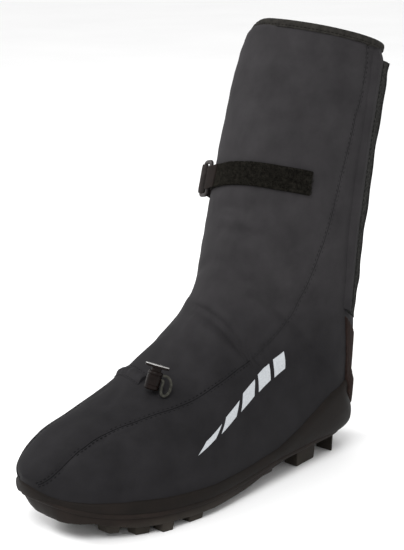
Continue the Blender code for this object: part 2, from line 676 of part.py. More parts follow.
rubber = material("sole_rubber", (0.020, 0.016, 0.014), 0.75)
rand_rubber = material("rand_rubber", (0.024, 0.021, 0.020), 0.65)
coated = material("coated_fabric", (0.045, 0.045, 0.050), 0.55)
hem_tape = material("hem_tape", (0.040, 0.034, 0.030), 0.80)
loop_pile = material("loop_pile", (0.020, 0.018, 0.014), 0.95)
grey_tape = material("closure_tape", (0.040, 0.040, 0.042), 0.80)
brown_tape = material("heel_webbing", (0.035, 0.028, 0.024), 0.85)
ring_plastic = material("ring_plastic", (0.120, 0.100, 0.095), 0.45)
lock_plastic = material("lock_plastic", (0.030, 0.020, 0.016), 0.40)
cap_plastic = material("cap_plastic", (0.300, 0.290, 0.280), 0.30)
cord_elastic = material("cord_elastic", (0.200, 0.190, 0.160), 0.80)

build_sole(rubber)
build_upper(coated)
build_rand(rand_rubber)
build_hem(hem_tape)
build_strap(loop_pile)
build_ring(ring_plastic)
patch("strap_anchor", ANCHOR_SPAN, FIT_GAP, 1.4, loop_pile)
build_closure(grey_tape)
patch("heel_tape", HEEL_TAPE_SPAN, FIT_GAP, 1.2, brown_tape)
build_channel(coated)
body, plunger, lock_matrix = build_lock(lock_plastic, cap_plastic)
build_cord(cord_elastic, lock_matrix)
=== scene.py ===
"""Looks of the left cycling overshoe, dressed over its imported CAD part."""

import math

import bmesh
import bpy
import numpy as np
from mathutils import Matrix, Vector

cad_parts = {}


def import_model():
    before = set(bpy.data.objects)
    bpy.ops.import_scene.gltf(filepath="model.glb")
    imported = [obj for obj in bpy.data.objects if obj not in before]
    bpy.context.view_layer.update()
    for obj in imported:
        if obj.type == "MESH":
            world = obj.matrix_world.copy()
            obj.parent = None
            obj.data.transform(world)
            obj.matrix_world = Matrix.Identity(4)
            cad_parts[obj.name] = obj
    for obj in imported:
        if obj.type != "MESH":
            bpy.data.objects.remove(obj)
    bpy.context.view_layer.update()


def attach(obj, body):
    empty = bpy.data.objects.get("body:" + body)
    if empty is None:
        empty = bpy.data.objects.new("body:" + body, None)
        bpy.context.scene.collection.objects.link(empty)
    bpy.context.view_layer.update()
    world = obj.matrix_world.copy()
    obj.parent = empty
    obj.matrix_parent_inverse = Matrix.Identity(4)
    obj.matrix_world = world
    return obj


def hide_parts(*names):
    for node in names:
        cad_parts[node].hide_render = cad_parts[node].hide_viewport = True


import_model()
scene = bpy.context.scene
random = np.random.default_rng(11)

MM = 0.001
SHOE = "overshoe"

# Driving sizes of the part, in millimetres
LENGTH = 300.0
BALL_WIDTH = 108.0
INSTEP_HEIGHT = 123.0
SHAFT_HEIGHT = 332.0
ANKLE_WIDTH = 106.0
UPPER_WALL = 1.6
FIT_GAP = 0.35
RAND_LIFT = 2.4
PLATE_REACH = 3.2
PLATE_LIP = 3.2
PLATE_STEP = 1.2
PLATE_DRAFT = 0.8
TOE_TUCK = 9.0
HEEL_TUCK = 11.0
TUCK_SPAN = 2.5
LUG_TAPER = 1.4
LUG_ROOT = 3.0
LUG_ROUND = 1.0
HEM_DEPTH = 5.6
STRAP_WIDTH = 17.5
STRAP_THICK = 2.0
RING_LENGTH = 28.0
RING_WIDTH = 11.0
RING_THICK = 2.6
RING_BAR = 3.0
RING_STAND = 30.0
RING_LIFT = 2.6
RING_CORNER = 2.2
CHANNEL_BULGE = 1.7
LOCK_RADIUS = 5.2
LOCK_LENGTH = 13.0
LOCK_BORE = 3.6
LOCK_DEPTH = 9.5
STEM_RADIUS = 3.53
STEM_LENGTH = 9.0
PRESS = 2.0
CAP_LENGTH = 17.0
CAP_WIDTH = 8.5
CAP_THICK = 2.2
CORD_RADIUS = 1.0
MIDDLE = 136.98
SIDE = 2.09

# Sections of the form, as in the part: stations and foot heights in percent of the length and the instep
# height, reaches in percent of the ball width, shaft rows in percent of the shaft height and ankle width
FOOT_COLUMNS = ("edge_at", "edge_up", "crest_at", "crest_up", "outer", "inner", "tuck_out", "tuck_in",
                "wide", "full", "bend", "swell")
FOOT = [
    (98.6, 24.0, 101.2, 36.6, -8.3, 8.3, 0, 0, 0.60, 2.00, -8.3, 1.0),
    (97.9, 23.4, 99.3, 43.7, 9.5, 22.8, 3, 4, 0.50, 2.00, -8.3, 1.0),
    (96.0, 21.4, 95.2, 50.2, 20.5, 30.6, 4, 5, 0.44, 2.10, -8.3, 1.0),
    (92.0, 18.3, 89.0, 56.0, 32.0, 38.4, 4, 5, 0.40, 2.10, -8.3, 1.0),
    (85.0, 15.0, 81.0, 61.5, 42.0, 45.4, 3, 4, 0.36, 2.10, -7.4, 1.0),
    (75.0, 13.0, 72.0, 68.5, 50.0, 48.6, 3, 3, 0.34, 2.10, -7.4, 1.0),
    (63.3, 12.2, 64.0, 77.8, 52.8, 47.2, 4, 4, 0.33, 2.10, -6.5, 1.0),
    (50.0, 13.6, 57.0, 89.5, 50.0, 43.5, 5, 8, 0.32, 2.10, -5.6, 1.0),
    (35.0, 16.5, 51.7, 100.0, 46.3, 41.7, 6, 10, 0.33, 2.10, -4.6, 1.1),
    (20.0, 17.0, 48.0, 108.1, 43.5, 41.7, 8, 9, 0.36, 2.05, -3.7, 1.2),
    (8.3, 15.6, 45.7, 115.4, 44.4, 42.6, 17, 16, 0.40, 2.00, -2.8, 1.05),
    (2.0, 14.6, 44.0, 122.8, 46.3, 45.4, 34, 33, 0.44, 2.00, -1.9, 0.95),
]
SHAFT_COLUMNS = ("edge_at", "edge_up", "crest_at", "crest_up", "outer", "inner", "dip")
SHAFT = [
    (0.0, 5.4, 43.0, 47.3, 49.1, 48.1, 0.0),
    (-0.7, 13.5, 41.7, 50.9, 50.0, 49.1, 0.0),
    (-1.0, 24.0, 40.0, 54.8, 50.9, 50.0, 0.0),
    (-1.3, 35.9, 38.0, 59.9, 50.9, 50.0, 0.0),
    (-2.7, 50.9, 34.7, 69.2, 50.0, 50.9, 0.0),
    (-5.0, 68.9, 30.3, 81.4, 50.0, 50.9, 0.0),
    (-8.0, 85.3, 25.7, 93.7, 50.0, 50.5, 0.14),
    (-9.3, 91.9, 23.0, 100.0, 49.1, 41.5, 0.55),
]
HEEL = len(FOOT)
HEEL_EDGE = HEEL - 1e-6
TOP = len(FOOT) + len(SHAFT) - 1
LOW = 0.36
RAND_TOP = [
    (-2.0, 66.0), (8.0, 65.0), (12.0, 63.0), (17.0, 57.0), (22.0, 47.0), (28.0, 37.5), (37.0, 28.5),
    (50.0, 24.5), (62.0, 23.5), (75.0, 25.0), (86.0, 28.5), (93.0, 32.5), (98.0, 37.0), (100.0, 39.5),
]
RAND_DIPS = (
    [(0.0, 1.5), (0.3, 3.6), (0.8, 4.9), (1.5, 5.3), (2.0, 5.1), (3.0, 3.1), (4.0, 0.8), (5.0, 0.0)],
    [(0.0, 1.5), (0.5, 0.0)],
)
RAND_FOOT = 0.08
RAND_END = 13.55
PLATE_DEPTH = [
    (0.0, 16.0), (0.5, 15.7), (1.0, 14.9), (1.5, 14.6), (2.0, 13.3), (2.5, 10.9), (3.0, 8.6), (3.6, 9.6),
    (4.2, 10.3), (7.0, 9.6), (7.8, 6.6), (8.3, 4.6), (12.0, 4.8),
]
INNER_FADE = (2.2, 4.2)
TOE_CENTRE = (262.0, -9.0)
LUGS = [
    (257, 266, 0.05, 0.22, 3.6), (257, 266, 0.35, 0.65, 3.6), (257, 266, 0.78, 0.95, 3.6),
    (237, 249, 0.03, 0.15, 0.0), (237, 249, 0.85, 0.97, 0.0),
    (237, 249, 0.29, 0.44, 0.6), (237, 249, 0.56, 0.71, 0.6),
    (222, 233, -0.02, 0.10, 0.0), (222, 233, 0.90, 1.02, 0.0),
    (220, 231, 0.26, 0.42, 0.0), (220, 231, 0.58, 0.74, 0.0),
    (193, 208, 0.00, 0.12, 0.0), (193, 208, 0.88, 1.00, 0.0),
    (197, 209, 0.26, 0.42, 0.0), (197, 209, 0.58, 0.74, 0.0),
    (172, 183, 0.20, 0.40, 0.0), (172, 183, 0.60, 0.80, 0.0),
    (47, 74, 0.08, 0.28, 0.0), (47, 74, 0.72, 0.92, 0.0),
    (5, 29, 0.01, 0.30, 0.0), (5, 29, 0.70, 0.99, 0.0),
]
ARCH_RIB = (110, 124, 0.01, 0.20, 9.0)
STRAP_LINE = [(0.58, 16.08), (0.75, 15.97), (0.90, 15.90), (1.14, 15.78), (1.24, 15.76)]
STRAP_ENDS = (STRAP_LINE[0][0], STRAP_LINE[-1][0])
RING_PLACE = (15.80, 1.30)
ANCHOR_AT = (15.52, 16.0)
ANCHOR_ROUND = (1.35, 1.50)
CLOSURE = [(14.1, 13.0), (15.0, 16.0), (16.0, 18.5), (17.0, 20.0), (18.42, 21.5)]
CLOSURE_ENDS = (CLOSURE[0][0], CLOSURE[-1][0])
CLOSURE_FRONT = 0.30
CHANNEL_AT = (5.36, 5.80)
CHANNEL_ROUND = (0.95, 1.42)
CHANNEL_SLANT = 1.5
LOCK_PLACE = (5.516, 0.861)
LOCK_STANDOFF = 3.6
LOCK_TILT = 44.0
LOCK_LEAN = 13.0
LOCK_TURN = 50.0
CORD_ROUTE = [
    (5.55, 0.0, 4.8), (7.7, -0.3, 5.2), (10.6, -0.9, 4.2), (12.7, -1.6, 0.8), (13.0, -2.3, -3.6),
    (11.7, -2.8, -7.3), (9.4, -3.0, -8.6), (7.3, -2.8, -7.0), (6.8, -2.3, -3.6), (6.9, -1.5, -0.4),
    (6.7, -0.6, 1.4), (5.55, 0.0, 1.8),
]

# Seam lines on the outer side, as (section number, way round)
REAR_SEAM = [(18.85, 0.36), (18.0, 0.35), (17.6, 0.348), (16.7, 0.385), (15.6, 0.440), (14.3, 0.505),
             (12.1, 0.58), (10.2, 0.60), (8.62, 0.597)]
VAMP_SEAM = [(0.45, 0.38), (1.3, 0.55), (2.3, 0.71), (3.67, 0.80), (4.67, 0.762), (5.7, 0.702), (7.0, 0.642),
             (8.48, 0.602)]

# Folds of the upper: line as (section number, way round), half width in mm, height in mm (troughs below 0),
# and whether the inner side has the same fold
FOLDS = [
    ([(9.02, 1.03), (9.0, 0.96), (8.93, 0.86), (8.72, 0.74), (8.42, 0.62), (8.3, 0.58)], 1.5, -1.1, False),
    ([(8.80, 1.00), (8.78, 0.94), (8.72, 0.86), (8.55, 0.74), (8.34, 0.63)], 4.4, -2.8, False),
    ([(8.90, 1.28), (8.72, 1.34), (8.45, 1.41)], 3.6, -2.0, False),
    ([(9.5, 1.00), (9.4, 0.90), (9.12, 0.76), (8.78, 0.66)], 5.0, 1.2, True),
    ([(8.04, 0.91), (8.00, 0.82), (8.02, 0.70), (8.1, 0.61)], 4.6, 1.9, False),
    ([(8.05, 1.30), (8.05, 1.36), (8.1, 1.42)], 4.6, 1.4, False),
    ([(8.30, 0.98), (8.25, 1.10), (8.30, 1.22)], 10.0, -2.0, False),
    ([(8.95, 0.68), (8.62, 0.60), (8.70, 0.52)], 2.2, -1.2, True),
    ([(8.78, 0.67), (8.56, 0.625), (8.40, 0.575)], 1.5, -0.9, True),
    ([(9.5, 0.62), (9.05, 0.575), (8.9, 0.52)], 2.6, -0.9, False),
    ([(18.80, 0.94), (18.77, 1.10), (18.76, 1.26), (18.80, 1.42)], 7.0, 2.6, False),
    ([(18.60, 0.66), (18.64, 0.52), (18.60, 0.38)], 2.0, -0.8, True),
    ([(18.50, 0.35), (18.42, 0.29), (18.42, 0.22)], 1.8, -0.9, False),
    ([(18.22, 0.35), (18.12, 0.29), (18.14, 0.23)], 2.2, -1.0, False),
    ([(17.70, 0.36), (17.55, 0.31), (17.60, 0.25)], 3.0, -0.8, False),
    ([(7.55, 0.98), (7.35, 0.86), (7.25, 0.74)], 6.0, -0.9, True),
    ([(12.6, 1.02), (12.4, 0.90), (11.9, 0.78)], 5.0, -1.3, True),
    ([(15.1, 1.10), (15.05, 0.96), (15.0, 0.86)], 5.0, -1.6, True),
    ([(14.72, 1.06), (14.70, 0.92), (14.78, 0.76)], 6.0, 1.2, False),
    ([(14.2, 1.05), (14.29, 0.92), (14.40, 0.78), (14.55, 0.68)], 5.0, -1.9, False),
    ([(13.6, 0.95), (13.75, 0.82), (14.0, 0.70)], 7.0, 1.2, False),
    ([(16.5, 1.02), (16.45, 0.88), (16.6, 0.70)], 7.0, 1.1, True),
    ([(17.3, 1.20), (17.1, 1.02), (17.2, 0.84)], 7.0, -1.1, False),
    ([(18.75, 0.70), (18.2, 0.66), (17.6, 0.68)], 6.0, -1.0, True),
    ([(18.7, 1.02), (18.2, 0.97), (17.7, 0.98)], 6.0, -1.0, False),
    ([(13.2, 0.46), (12.3, 0.44), (11.2, 0.46), (10.3, 0.50)], 7.0, -1.2, True),
    ([(12.2, 0.36), (11.0, 0.36), (10.0, 0.38)], 6.0, 0.8, True),
    ([(5.2, 1.02), (4.7, 0.98), (4.3, 0.97)], 4.0, -0.7, False),
    ([(5.3, 1.14), (4.9, 1.13), (4.5, 1.15)], 4.0, -0.6, False),
    ([(5.95, 0.80), (6.2, 0.72), (6.6, 0.70)], 4.5, -0.8, False),
    ([(6.3, 0.92), (6.6, 0.86), (6.9, 0.84)], 5.0, -0.6, False),
    ([(2.2, 0.86), (3.2, 0.90), (4.2, 0.89)], 9.0, 0.7, True),
    ([(3.0, 0.58), (4.2, 0.56), (5.4, 0.55)], 8.0, 0.6, True),
    ([(4.5, 0.73), (4.1, 0.725), (3.8, 0.74)], 2.6, -0.9, True),
    ([(3.7, 0.755), (3.2, 0.735), (2.7, 0.71)], 3.2, -1.0, True),
    ([(2.5, 0.72), (2.0, 0.665), (1.6, 0.60)], 3.0, -0.8, True),
]
# Half width and height in mm of the seams' troughs and of the pinch under the strap, and where the pinch ends
SEAM_TROUGH = (2.8, -0.9)
STRAP_PINCH = (9.0, -0.7)
PINCH_END = 1.42
# Height of a fold on the inner side, as a share of its height on the outer side
MIRROR_SHARE = 0.85
# Unevenness of the cloth: height and wave length in mm, and the seed of its draws
UNEVEN = [(0.42, 55.0, 3), (0.15, 18.0, 4)]
# Folds fade out above the rand over this height in mm, and below the rim over this share of a section
RAND_FADE = 9.0
RIM_FADE = 0.25
# Step in section numbers and in the way round over which directions are taken
STEP = 0.004
# Faces of a welded piece that are thinner than this, in mm, are dissolved
SLIVER = 0.002
# Depth in mm by which pads reach into the cloth below them
PAD_SINK = 0.35


def between(span, share):
    """Value at a share of the way between the two ends of a span."""
    return span[0] + (span[1] - span[0]) * share


def read_line(line, x):
    """Value at x on a line of (x, value) points."""
    return np.interp(x, *np.transpose(line))


def joined_table():
    """Both tables as one array in millimetres."""
    rows = []
    for line in FOOT:
        r = dict(zip(FOOT_COLUMNS, line))
        outer = r["outer"] / 100 * BALL_WIDTH
        inner = r["inner"] / 100 * BALL_WIDTH
        rows.append([r["edge_at"] / 100 * LENGTH, r["edge_up"] / 100 * INSTEP_HEIGHT,
                     r["crest_at"] / 100 * LENGTH, r["crest_up"] / 100 * INSTEP_HEIGHT,
                     outer, inner, outer - r["tuck_out"], inner - r["tuck_in"],
                     r["wide"], r["full"], r["bend"] / 100 * BALL_WIDTH, 0.0, r["swell"]])
    for line in SHAFT:
        r = dict(zip(SHAFT_COLUMNS, line))
        rows.append([r["edge_at"] / 100 * LENGTH, r["edge_up"] / 100 * SHAFT_HEIGHT,
                     r["crest_at"] / 100 * LENGTH, r["crest_up"] / 100 * SHAFT_HEIGHT,
                     r["outer"] / 100 * ANKLE_WIDTH, r["inner"] / 100 * ANKLE_WIDTH, 0.0, 0.0,
                     0.5, 2.0, 0.0, r["dip"], 1.0])
    return np.array(rows)


COLUMNS = ("edge_at", "edge_z", "crest_at", "crest_z", "outer", "inner", "edge_out", "edge_in",
           "wide", "full", "bend", "dip", "swell")
TABLE = joined_table()


def table_slopes():
    """Slopes on leaving and on reaching each section; toe and heel run square across the shoe."""
    step = np.diff(TABLE, axis=0)
    both = step[:-1] * step[1:]
    mean = np.where(both > 0, step[:-1] + step[1:], 1.0)
    middle = np.where(both > 0, 2 * both / mean, 0.0)
    leave = np.vstack([step[:1], middle, step[-1:]])
    reach = leave.copy()
    leave[0, 0:4] = 0.0
    leave[0, 4:8] = 1.5 * step[0, 4:8]
    reach[HEEL, 0] = 0.0
    reach[HEEL, 6:8] = 1.5 * step[HEEL - 1, 6:8]
    leave[HEEL, 0] = step[HEEL, 0]
    reach[HEEL, 12] = 1.55 * step[HEEL - 1, 12]
    return leave, reach


LEAVE, REACH = table_slopes()


def section(at):
    """Named sizes of the section at a fractional section number."""
    at = np.clip(np.asarray(at, float), 0, TOP)
    i = np.minimum(at.astype(int), TOP - 1)
    f = (at - i)[..., None]
    r = ((2 * f**3 - 3 * f**2 + 1) * TABLE[i] + (f**3 - 2 * f**2 + f) * LEAVE[i]
         + (3 * f**2 - 2 * f**3) * TABLE[i + 1] + (f**3 - f**2) * REACH[i + 1])
    return dict(zip(COLUMNS, np.moveaxis(r, -1, 0)))


def surface(at, around):
    """Smooth form of the upper: around runs from the outer edge (0) over the crest (1) to the inner (2)."""
    at, around = np.broadcast_arrays(np.asarray(at, float), np.asarray(around, float))
    r = section(at)
    up = np.where(around > 1, 2 - around, around)
    low = np.clip(up / LOW, 0, 1) * np.pi / 2
    high = np.clip((up - LOW) / (1 - LOW), 0, 1) * np.pi / 2
    reach = np.where(around <= 1, r["outer"], -r["inner"]) - r["bend"]
    foot = np.where(around <= 1, r["edge_out"], -r["edge_in"]) - r["bend"]
    foot = np.where(at >= HEEL, -r["bend"], foot)
    power = 2 / r["full"]
    wide = r["wide"]
    tall = np.where(up < LOW, wide * (1 - np.cos(low)), wide + (1 - wide) * np.sin(high)**power)
    side = np.where(up < LOW, foot + (reach - foot) * np.sin(low)**r["swell"], reach * np.cos(high)**power)
    side = side + r["bend"]
    drop = r["dip"] * np.minimum(side, 0)**2 / (ANKLE_WIDTH / 2)
    return np.stack([r["edge_at"] + (r["crest_at"] - r["edge_at"]) * tall, side,
                     r["edge_z"] + (r["crest_z"] - r["edge_z"]) * tall - drop], -1)


def unit(v):
    """Vectors brought to length 1."""
    return v / np.maximum(np.linalg.norm(v, axis=-1, keepdims=True), 1e-9)


def along(at, around):
    """Direction along the shoe, from the toe towards the collar."""
    return unit(surface(np.clip(at + STEP, 0, TOP), around) - surface(np.clip(at - STEP, 0, TOP), around))


def across(at, around):
    """Direction round the section, from the outer edge towards the inner edge."""
    return unit(surface(at, np.clip(around + STEP, 0, 2)) - surface(at, np.clip(around - STEP, 0, 2)))


def outward(at, around):
    """Direction off the upper's outside."""
    at, around = np.broadcast_arrays(np.asarray(at, float), np.asarray(around, float))
    return unit(np.cross(along(at, around), across(at, around)))


def pace_along(at, around, e):
    """Millimetres per section number, over a step e to both sides."""
    return np.linalg.norm(surface(at + e, around) - surface(at - e, around), axis=-1) / (2 * e)


def pace_round(at, around, e=0.01):
    """Millimetres per unit of the way round, over a step e to both sides."""
    return np.linalg.norm(surface(at, around + e) - surface(at, around - e), axis=-1) / (2 * e)


def world(points):
    """Section millimetres to metres: toe to -X, outer side to -Y."""
    p = np.asarray(points, float) * MM
    return np.stack([MIDDLE * MM - p[..., 0], SIDE * MM - p[..., 1], p[..., 2]], -1)


def rounded_line(points, turns=3):
    """Corner-cut copy of a short line, so that it runs in smooth curves."""
    p = np.asarray(points, float)
    for _ in range(turns):
        near = 0.75 * p[:-1] + 0.25 * p[1:]
        far = 0.25 * p[:-1] + 0.75 * p[1:]
        p = np.vstack([p[:1], np.stack([near, far], 1).reshape(-1, p.shape[1]), p[-1:]])
    return p


def run_length(p, axis=0):
    """Way from the start of a line, or of a grid's lines along one axis, in mm."""
    steps = np.linalg.norm(np.diff(p, axis=axis), axis=-1)
    return np.concatenate([np.zeros_like(steps.take([0], axis)), np.cumsum(steps, axis)], axis)


def spaced(points, values, step):
    """Values that belong to the points of a polyline, read at even distances along it."""
    run = run_length(points)
    want = np.linspace(0, run[-1], max(int(run[-1] / step), 2) + 1)
    return np.stack([np.interp(want, run, column) for column in values.T], -1)


def even_line(points, step):
    """Points at even distances along a polyline in section millimetres."""
    return spaced(points, points, step)


def mirrored(line):
    """The same line on the inner side."""
    return [(a, 2 - r) for a, r in line]


def soft_waves(p, size, seed, count=14):
    """Gentle unevenness from crossing waves, about -1 to 1, for points in mm."""
    draw = np.random.default_rng(seed)
    turn = unit(draw.normal(size=(count, 3))) * (2 * np.pi / size) * draw.uniform(0.7, 1.4, (count, 1))
    phase = draw.uniform(0, 2 * np.pi, count)
    return np.sin(p @ turn.T + phase).sum(-1) / math.sqrt(count)


def squared_gaps(p, q):
    """Squared distance of each point p from each point q."""
    return (p * p).sum(-1)[:, None] + (q * q).sum(-1)[None] - 2 * p @ q.T


def fold_heights(p, line, half, height):
    """Height of one fold at points p: strongest along its line, fading out at both ends."""
    q = rounded_line(line)
    q = surface(q[:, 0], q[:, 1])
    fade = np.sin(np.pi * np.clip(np.linspace(0, 1, len(q)), 0.02, 0.98)) ** 0.7
    gap = squared_gaps(p, q)
    near = gap.argmin(1)
    far = np.maximum(gap[np.arange(len(p)), near], 0)
    return height * fade[near] * np.exp(-far / half**2)


def line_trough(p, line, half, height):
    """Narrow trough or ridge of even depth along a line."""
    q = rounded_line(line)
    q = even_line(surface(q[:, 0], q[:, 1]), 2.0)
    return height * np.exp(-np.maximum(squared_gaps(p, q).min(1), 0) / half**2)


def rand_height(s):
    """Height of the rand's top line at a place along the shoe, in mm."""
    return read_line(RAND_TOP, s / LENGTH * 100)


def relief(at, around):
    """Folds, seam troughs and unevenness of the upper, in mm outwards."""
    at, around = np.broadcast_arrays(np.asarray(at, float), np.asarray(around, float))
    p = surface(at, around).reshape(-1, 3)
    total = sum(high * soft_waves(p, size, seed) for high, size, seed in UNEVEN)
    for line, half, height, both in FOLDS:
        total = total + fold_heights(p, line, half, height)
        if both:
            total = total + MIRROR_SHARE * fold_heights(p, mirrored(line), half, height)
    for line in (REAR_SEAM, VAMP_SEAM):
        for side in (line, mirrored(line)):
            total = total + line_trough(p, side, *SEAM_TROUGH)
    strap = [(a, r) for r, a in STRAP_LINE]
    total = total + fold_heights(p, strap + [(STRAP_LINE[-1][1], PINCH_END)], *STRAP_PINCH)
    above = np.clip((p[:, 2] - rand_height(p[:, 0])) / RAND_FADE, 0, 1)
    below = np.clip((TOP - at.reshape(-1)) / RIM_FADE, 0, 1)
    return (total * above * below).reshape(at.shape)


def dressed(at, around, lift=0.0):
    """Outside of the folded upper, lifted off it in mm."""
    rise = np.asarray(relief(at, around) + lift)
    return surface(at, around) + outward(at, around) * rise[..., None]


def soft_step(x):
    """Smooth step from 0 to 1."""
    x = np.clip(x, 0, 1)
    return x * x * (3 - 2 * x)


def crowded(count):
    """Steps from 0 to 1 that lie closer together at both ends."""
    return (1 - np.cos(np.linspace(0, np.pi, count))) / 2


def crossed(rows, columns):
    """Two grids, one with the values of the rows and one with those of the columns."""
    return np.meshgrid(rows, columns, indexing="ij")


def stations(*stretches):
    """Section numbers over stretches of (first, last, count) that follow on each other."""
    parts = [np.linspace(*stretch)[:-1] for stretch in stretches]
    return np.append(np.concatenate(parts), stretches[-1][1])


def grid_quads(rows, columns, wrap=False, start=0):
    """Faces over a grid of vertices numbered row by row."""
    last = columns if wrap else columns - 1
    i, j = crossed(np.arange(rows - 1), np.arange(last))
    k = (j + 1) % columns
    quads = np.stack([i * columns + j, (i + 1) * columns + j, (i + 1) * columns + k, i * columns + k], -1)
    return (quads.reshape(-1, 4) + start).tolist()


def tube_faces(rows, columns):
    """Faces of a row of rings, closed at both ends."""
    faces = grid_quads(rows, columns, wrap=True)
    faces.append(list(range(columns - 1, -1, -1)))
    faces.append(list(range((rows - 1) * columns, rows * columns)))
    return faces


def ring_faces(rows, columns):
    """Faces of a row of rings whose last ring meets the first."""
    faces = grid_quads(rows, columns, wrap=True)
    last = (rows - 1) * columns
    for j in range(columns):
        k = (j + 1) % columns
        faces.append([last + j, j, k, last + k])
    return faces


def joined(bodies):
    """Points and faces of several bodies as those of one."""
    points = []
    faces = []
    count = 0
    for p, f in bodies:
        points.append(p)
        faces += [[k + count for k in face] for face in f]
        count += len(p)
    return np.concatenate(points), faces


def face_outwards(mesh, weld):
    """Join points that lie closer than weld in mm and turn all faces outwards."""
    bm = bmesh.new()
    bm.from_mesh(mesh)
    if weld:
        bmesh.ops.remove_doubles(bm, verts=bm.verts, dist=weld * MM)
        bmesh.ops.dissolve_degenerate(bm, edges=bm.edges, dist=SLIVER * MM)
    bmesh.ops.recalc_face_normals(bm, faces=bm.faces)
    bm.to_mesh(mesh)
    bm.free()


def add_piece(name, points, faces, paints, slot, node=None, body=SHOE, indices=None, sharp=None, weld=0.0,
              recalc=False, matrix=None):
    """Mesh piece from section millimetres, or from millimetres in a matrix's own frame."""
    mesh = bpy.data.meshes.new(name)
    if matrix is None:
        mesh.from_pydata(world(points).tolist(), [], faces)
    else:
        mesh.from_pydata((points * MM).tolist(), [], faces)
        mesh.transform(matrix)
    for paint in paints:
        mesh.materials.append(paint)
    if indices is not None:
        mesh.polygons.foreach_set("material_index", np.asarray(indices, np.int32))
    if recalc:
        face_outwards(mesh, weld)
    mesh.shade_smooth()
    if sharp:
        mesh.set_sharp_from_angle(angle=math.radians(sharp))
    mesh.validate()
    return settle(bpy.data.objects.new(name, mesh), node, body)


def settle(ob, node=None, body=SHOE):
    """Link a piece, let it ride on its body and stand for its node."""
    scene.collection.objects.link(ob)
    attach(ob, body)
    if node:
        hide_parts(node)
    return ob


def closed_slab(under, over):
    """Points and faces of the body between two grids, the second outside the first."""
    rows, columns = over.shape[:2]
    count = rows * columns
    faces = grid_quads(rows, columns)
    faces += [f[::-1] for f in grid_quads(rows, columns, start=count)]
    rim = [i * columns for i in range(rows)]
    rim += [(rows - 1) * columns + j for j in range(1, columns)]
    rim += [i * columns + columns - 1 for i in range(rows - 2, -1, -1)]
    rim += list(range(columns - 2, 0, -1))
    for a, b in zip(rim, rim[1:] + rim[:1]):
        faces.append([a, a + count, b + count, b])
    return np.concatenate([over.reshape(-1, 3), under.reshape(-1, 3)]), faces


def rim_distance(p):
    """Distance of each grid point from the grid's nearest edge, in mm."""
    first = run_length(p, 0)
    second = run_length(p, 1)
    return np.minimum(np.minimum(first, first[-1:] - first), np.minimum(second, second[:, -1:] - second))


def rounded_rise(distance, thick, edge):
    """Height of a pad whose edges are rounded over."""
    near = np.clip(distance / edge, 0, 1)
    return thick * np.sqrt(np.maximum(1 - (1 - near) ** 2, 0))


def pad(name, at, around, thick, edge, paint, slot, node, extra):
    """Thin piece that lies on the folded upper, with rounded edges."""
    base = dressed(at, around)
    n = outward(at, around)
    rise = rounded_rise(rim_distance(base), thick, edge) + extra
    slab = closed_slab(base - n * PAD_SINK, base + n * rise[..., None])
    return add_piece(name, *slab, [paint], slot, node, sharp=50)


# Paints

# Range of a noise over which colours and roughness change
NOISE_RANGE = (0.3, 0.7)


def new_paint(name, rough, specular, coat=0.0):
    """Empty paint with its node tree, its shader and the places on the piece."""
    paint = bpy.data.materials.new(name)
    paint.use_nodes = True
    tree = paint.node_tree
    shader = tree.nodes["Principled BSDF"]
    shader.inputs["Roughness"].default_value = rough
    shader.inputs["Specular IOR Level"].default_value = specular
    shader.inputs["Coat Weight"].default_value = coat
    shader.inputs["Coat Roughness"].default_value = 0.25
    return paint, tree, shader, add_node(tree, "ShaderNodeTexCoord").outputs["Object"]


def add_node(tree, kind, **values):
    """New shader node with its inputs or settings."""
    node = tree.nodes.new(kind)
    for key, value in values.items():
        if key in node.inputs:
            node.inputs[key].default_value = value
        else:
            setattr(node, key, value)
    return node


def noise(tree, place, size, detail=3.0, rough=0.55):
    """Noise whose patches are about size mm across."""
    node = add_node(tree, "ShaderNodeTexNoise", Scale=1000.0 / size, Detail=detail, Roughness=rough)
    tree.links.new(place, node.inputs["Vector"])
    return node.outputs["Fac"]


def ramp(tree, value, low, high):
    """Colours from low to high over the middle range of a noise."""
    node = add_node(tree, "ShaderNodeValToRGB")
    for element, place, colour in zip(node.color_ramp.elements, NOISE_RANGE, (low, high)):
        element.position = place
        element.color = (*colour, 1)
    tree.links.new(value, node.inputs["Fac"])
    return node.outputs["Color"]


def spread(tree, value, low, high):
    """Numbers from low to high over the middle range of a noise."""
    node = add_node(tree, "ShaderNodeMapRange")
    for key, number in zip(("From Min", "From Max", "To Min", "To Max"), (*NOISE_RANGE, low, high)):
        node.inputs[key].default_value = number
    tree.links.new(value, node.inputs["Value"])
    return node.outputs["Result"]


def bumped(tree, height, strength, deep, below=None):
    """Normal raised by a height, deep in mm, on the normal below."""
    node = add_node(tree, "ShaderNodeBump")
    node.inputs["Strength"].default_value = strength
    node.inputs["Distance"].default_value = deep * MM
    tree.links.new(height, node.inputs["Height"])
    if below is not None:
        tree.links.new(below, node.inputs["Normal"])
    return node.outputs["Normal"]


def mottled(name, low, high, rough, patch, grains, specular=0.05, coat=0.0, rough_spread=0.08):
    """Paint with soft colour patches and grain: grains are (size in mm, strength, depth in mm)."""
    paint, tree, shader, place = new_paint(name, rough, specular, coat)
    patches = noise(tree, place, patch)
    tree.links.new(ramp(tree, patches, low, high), shader.inputs["Base Color"])
    roughness = spread(tree, patches, rough - rough_spread, rough + rough_spread)
    tree.links.new(roughness, shader.inputs["Roughness"])
    normal = None
    for size, strength, deep in grains:
        normal = bumped(tree, noise(tree, place, size, 2.0), strength, deep, normal)
    tree.links.new(normal, shader.inputs["Normal"])
    return paint


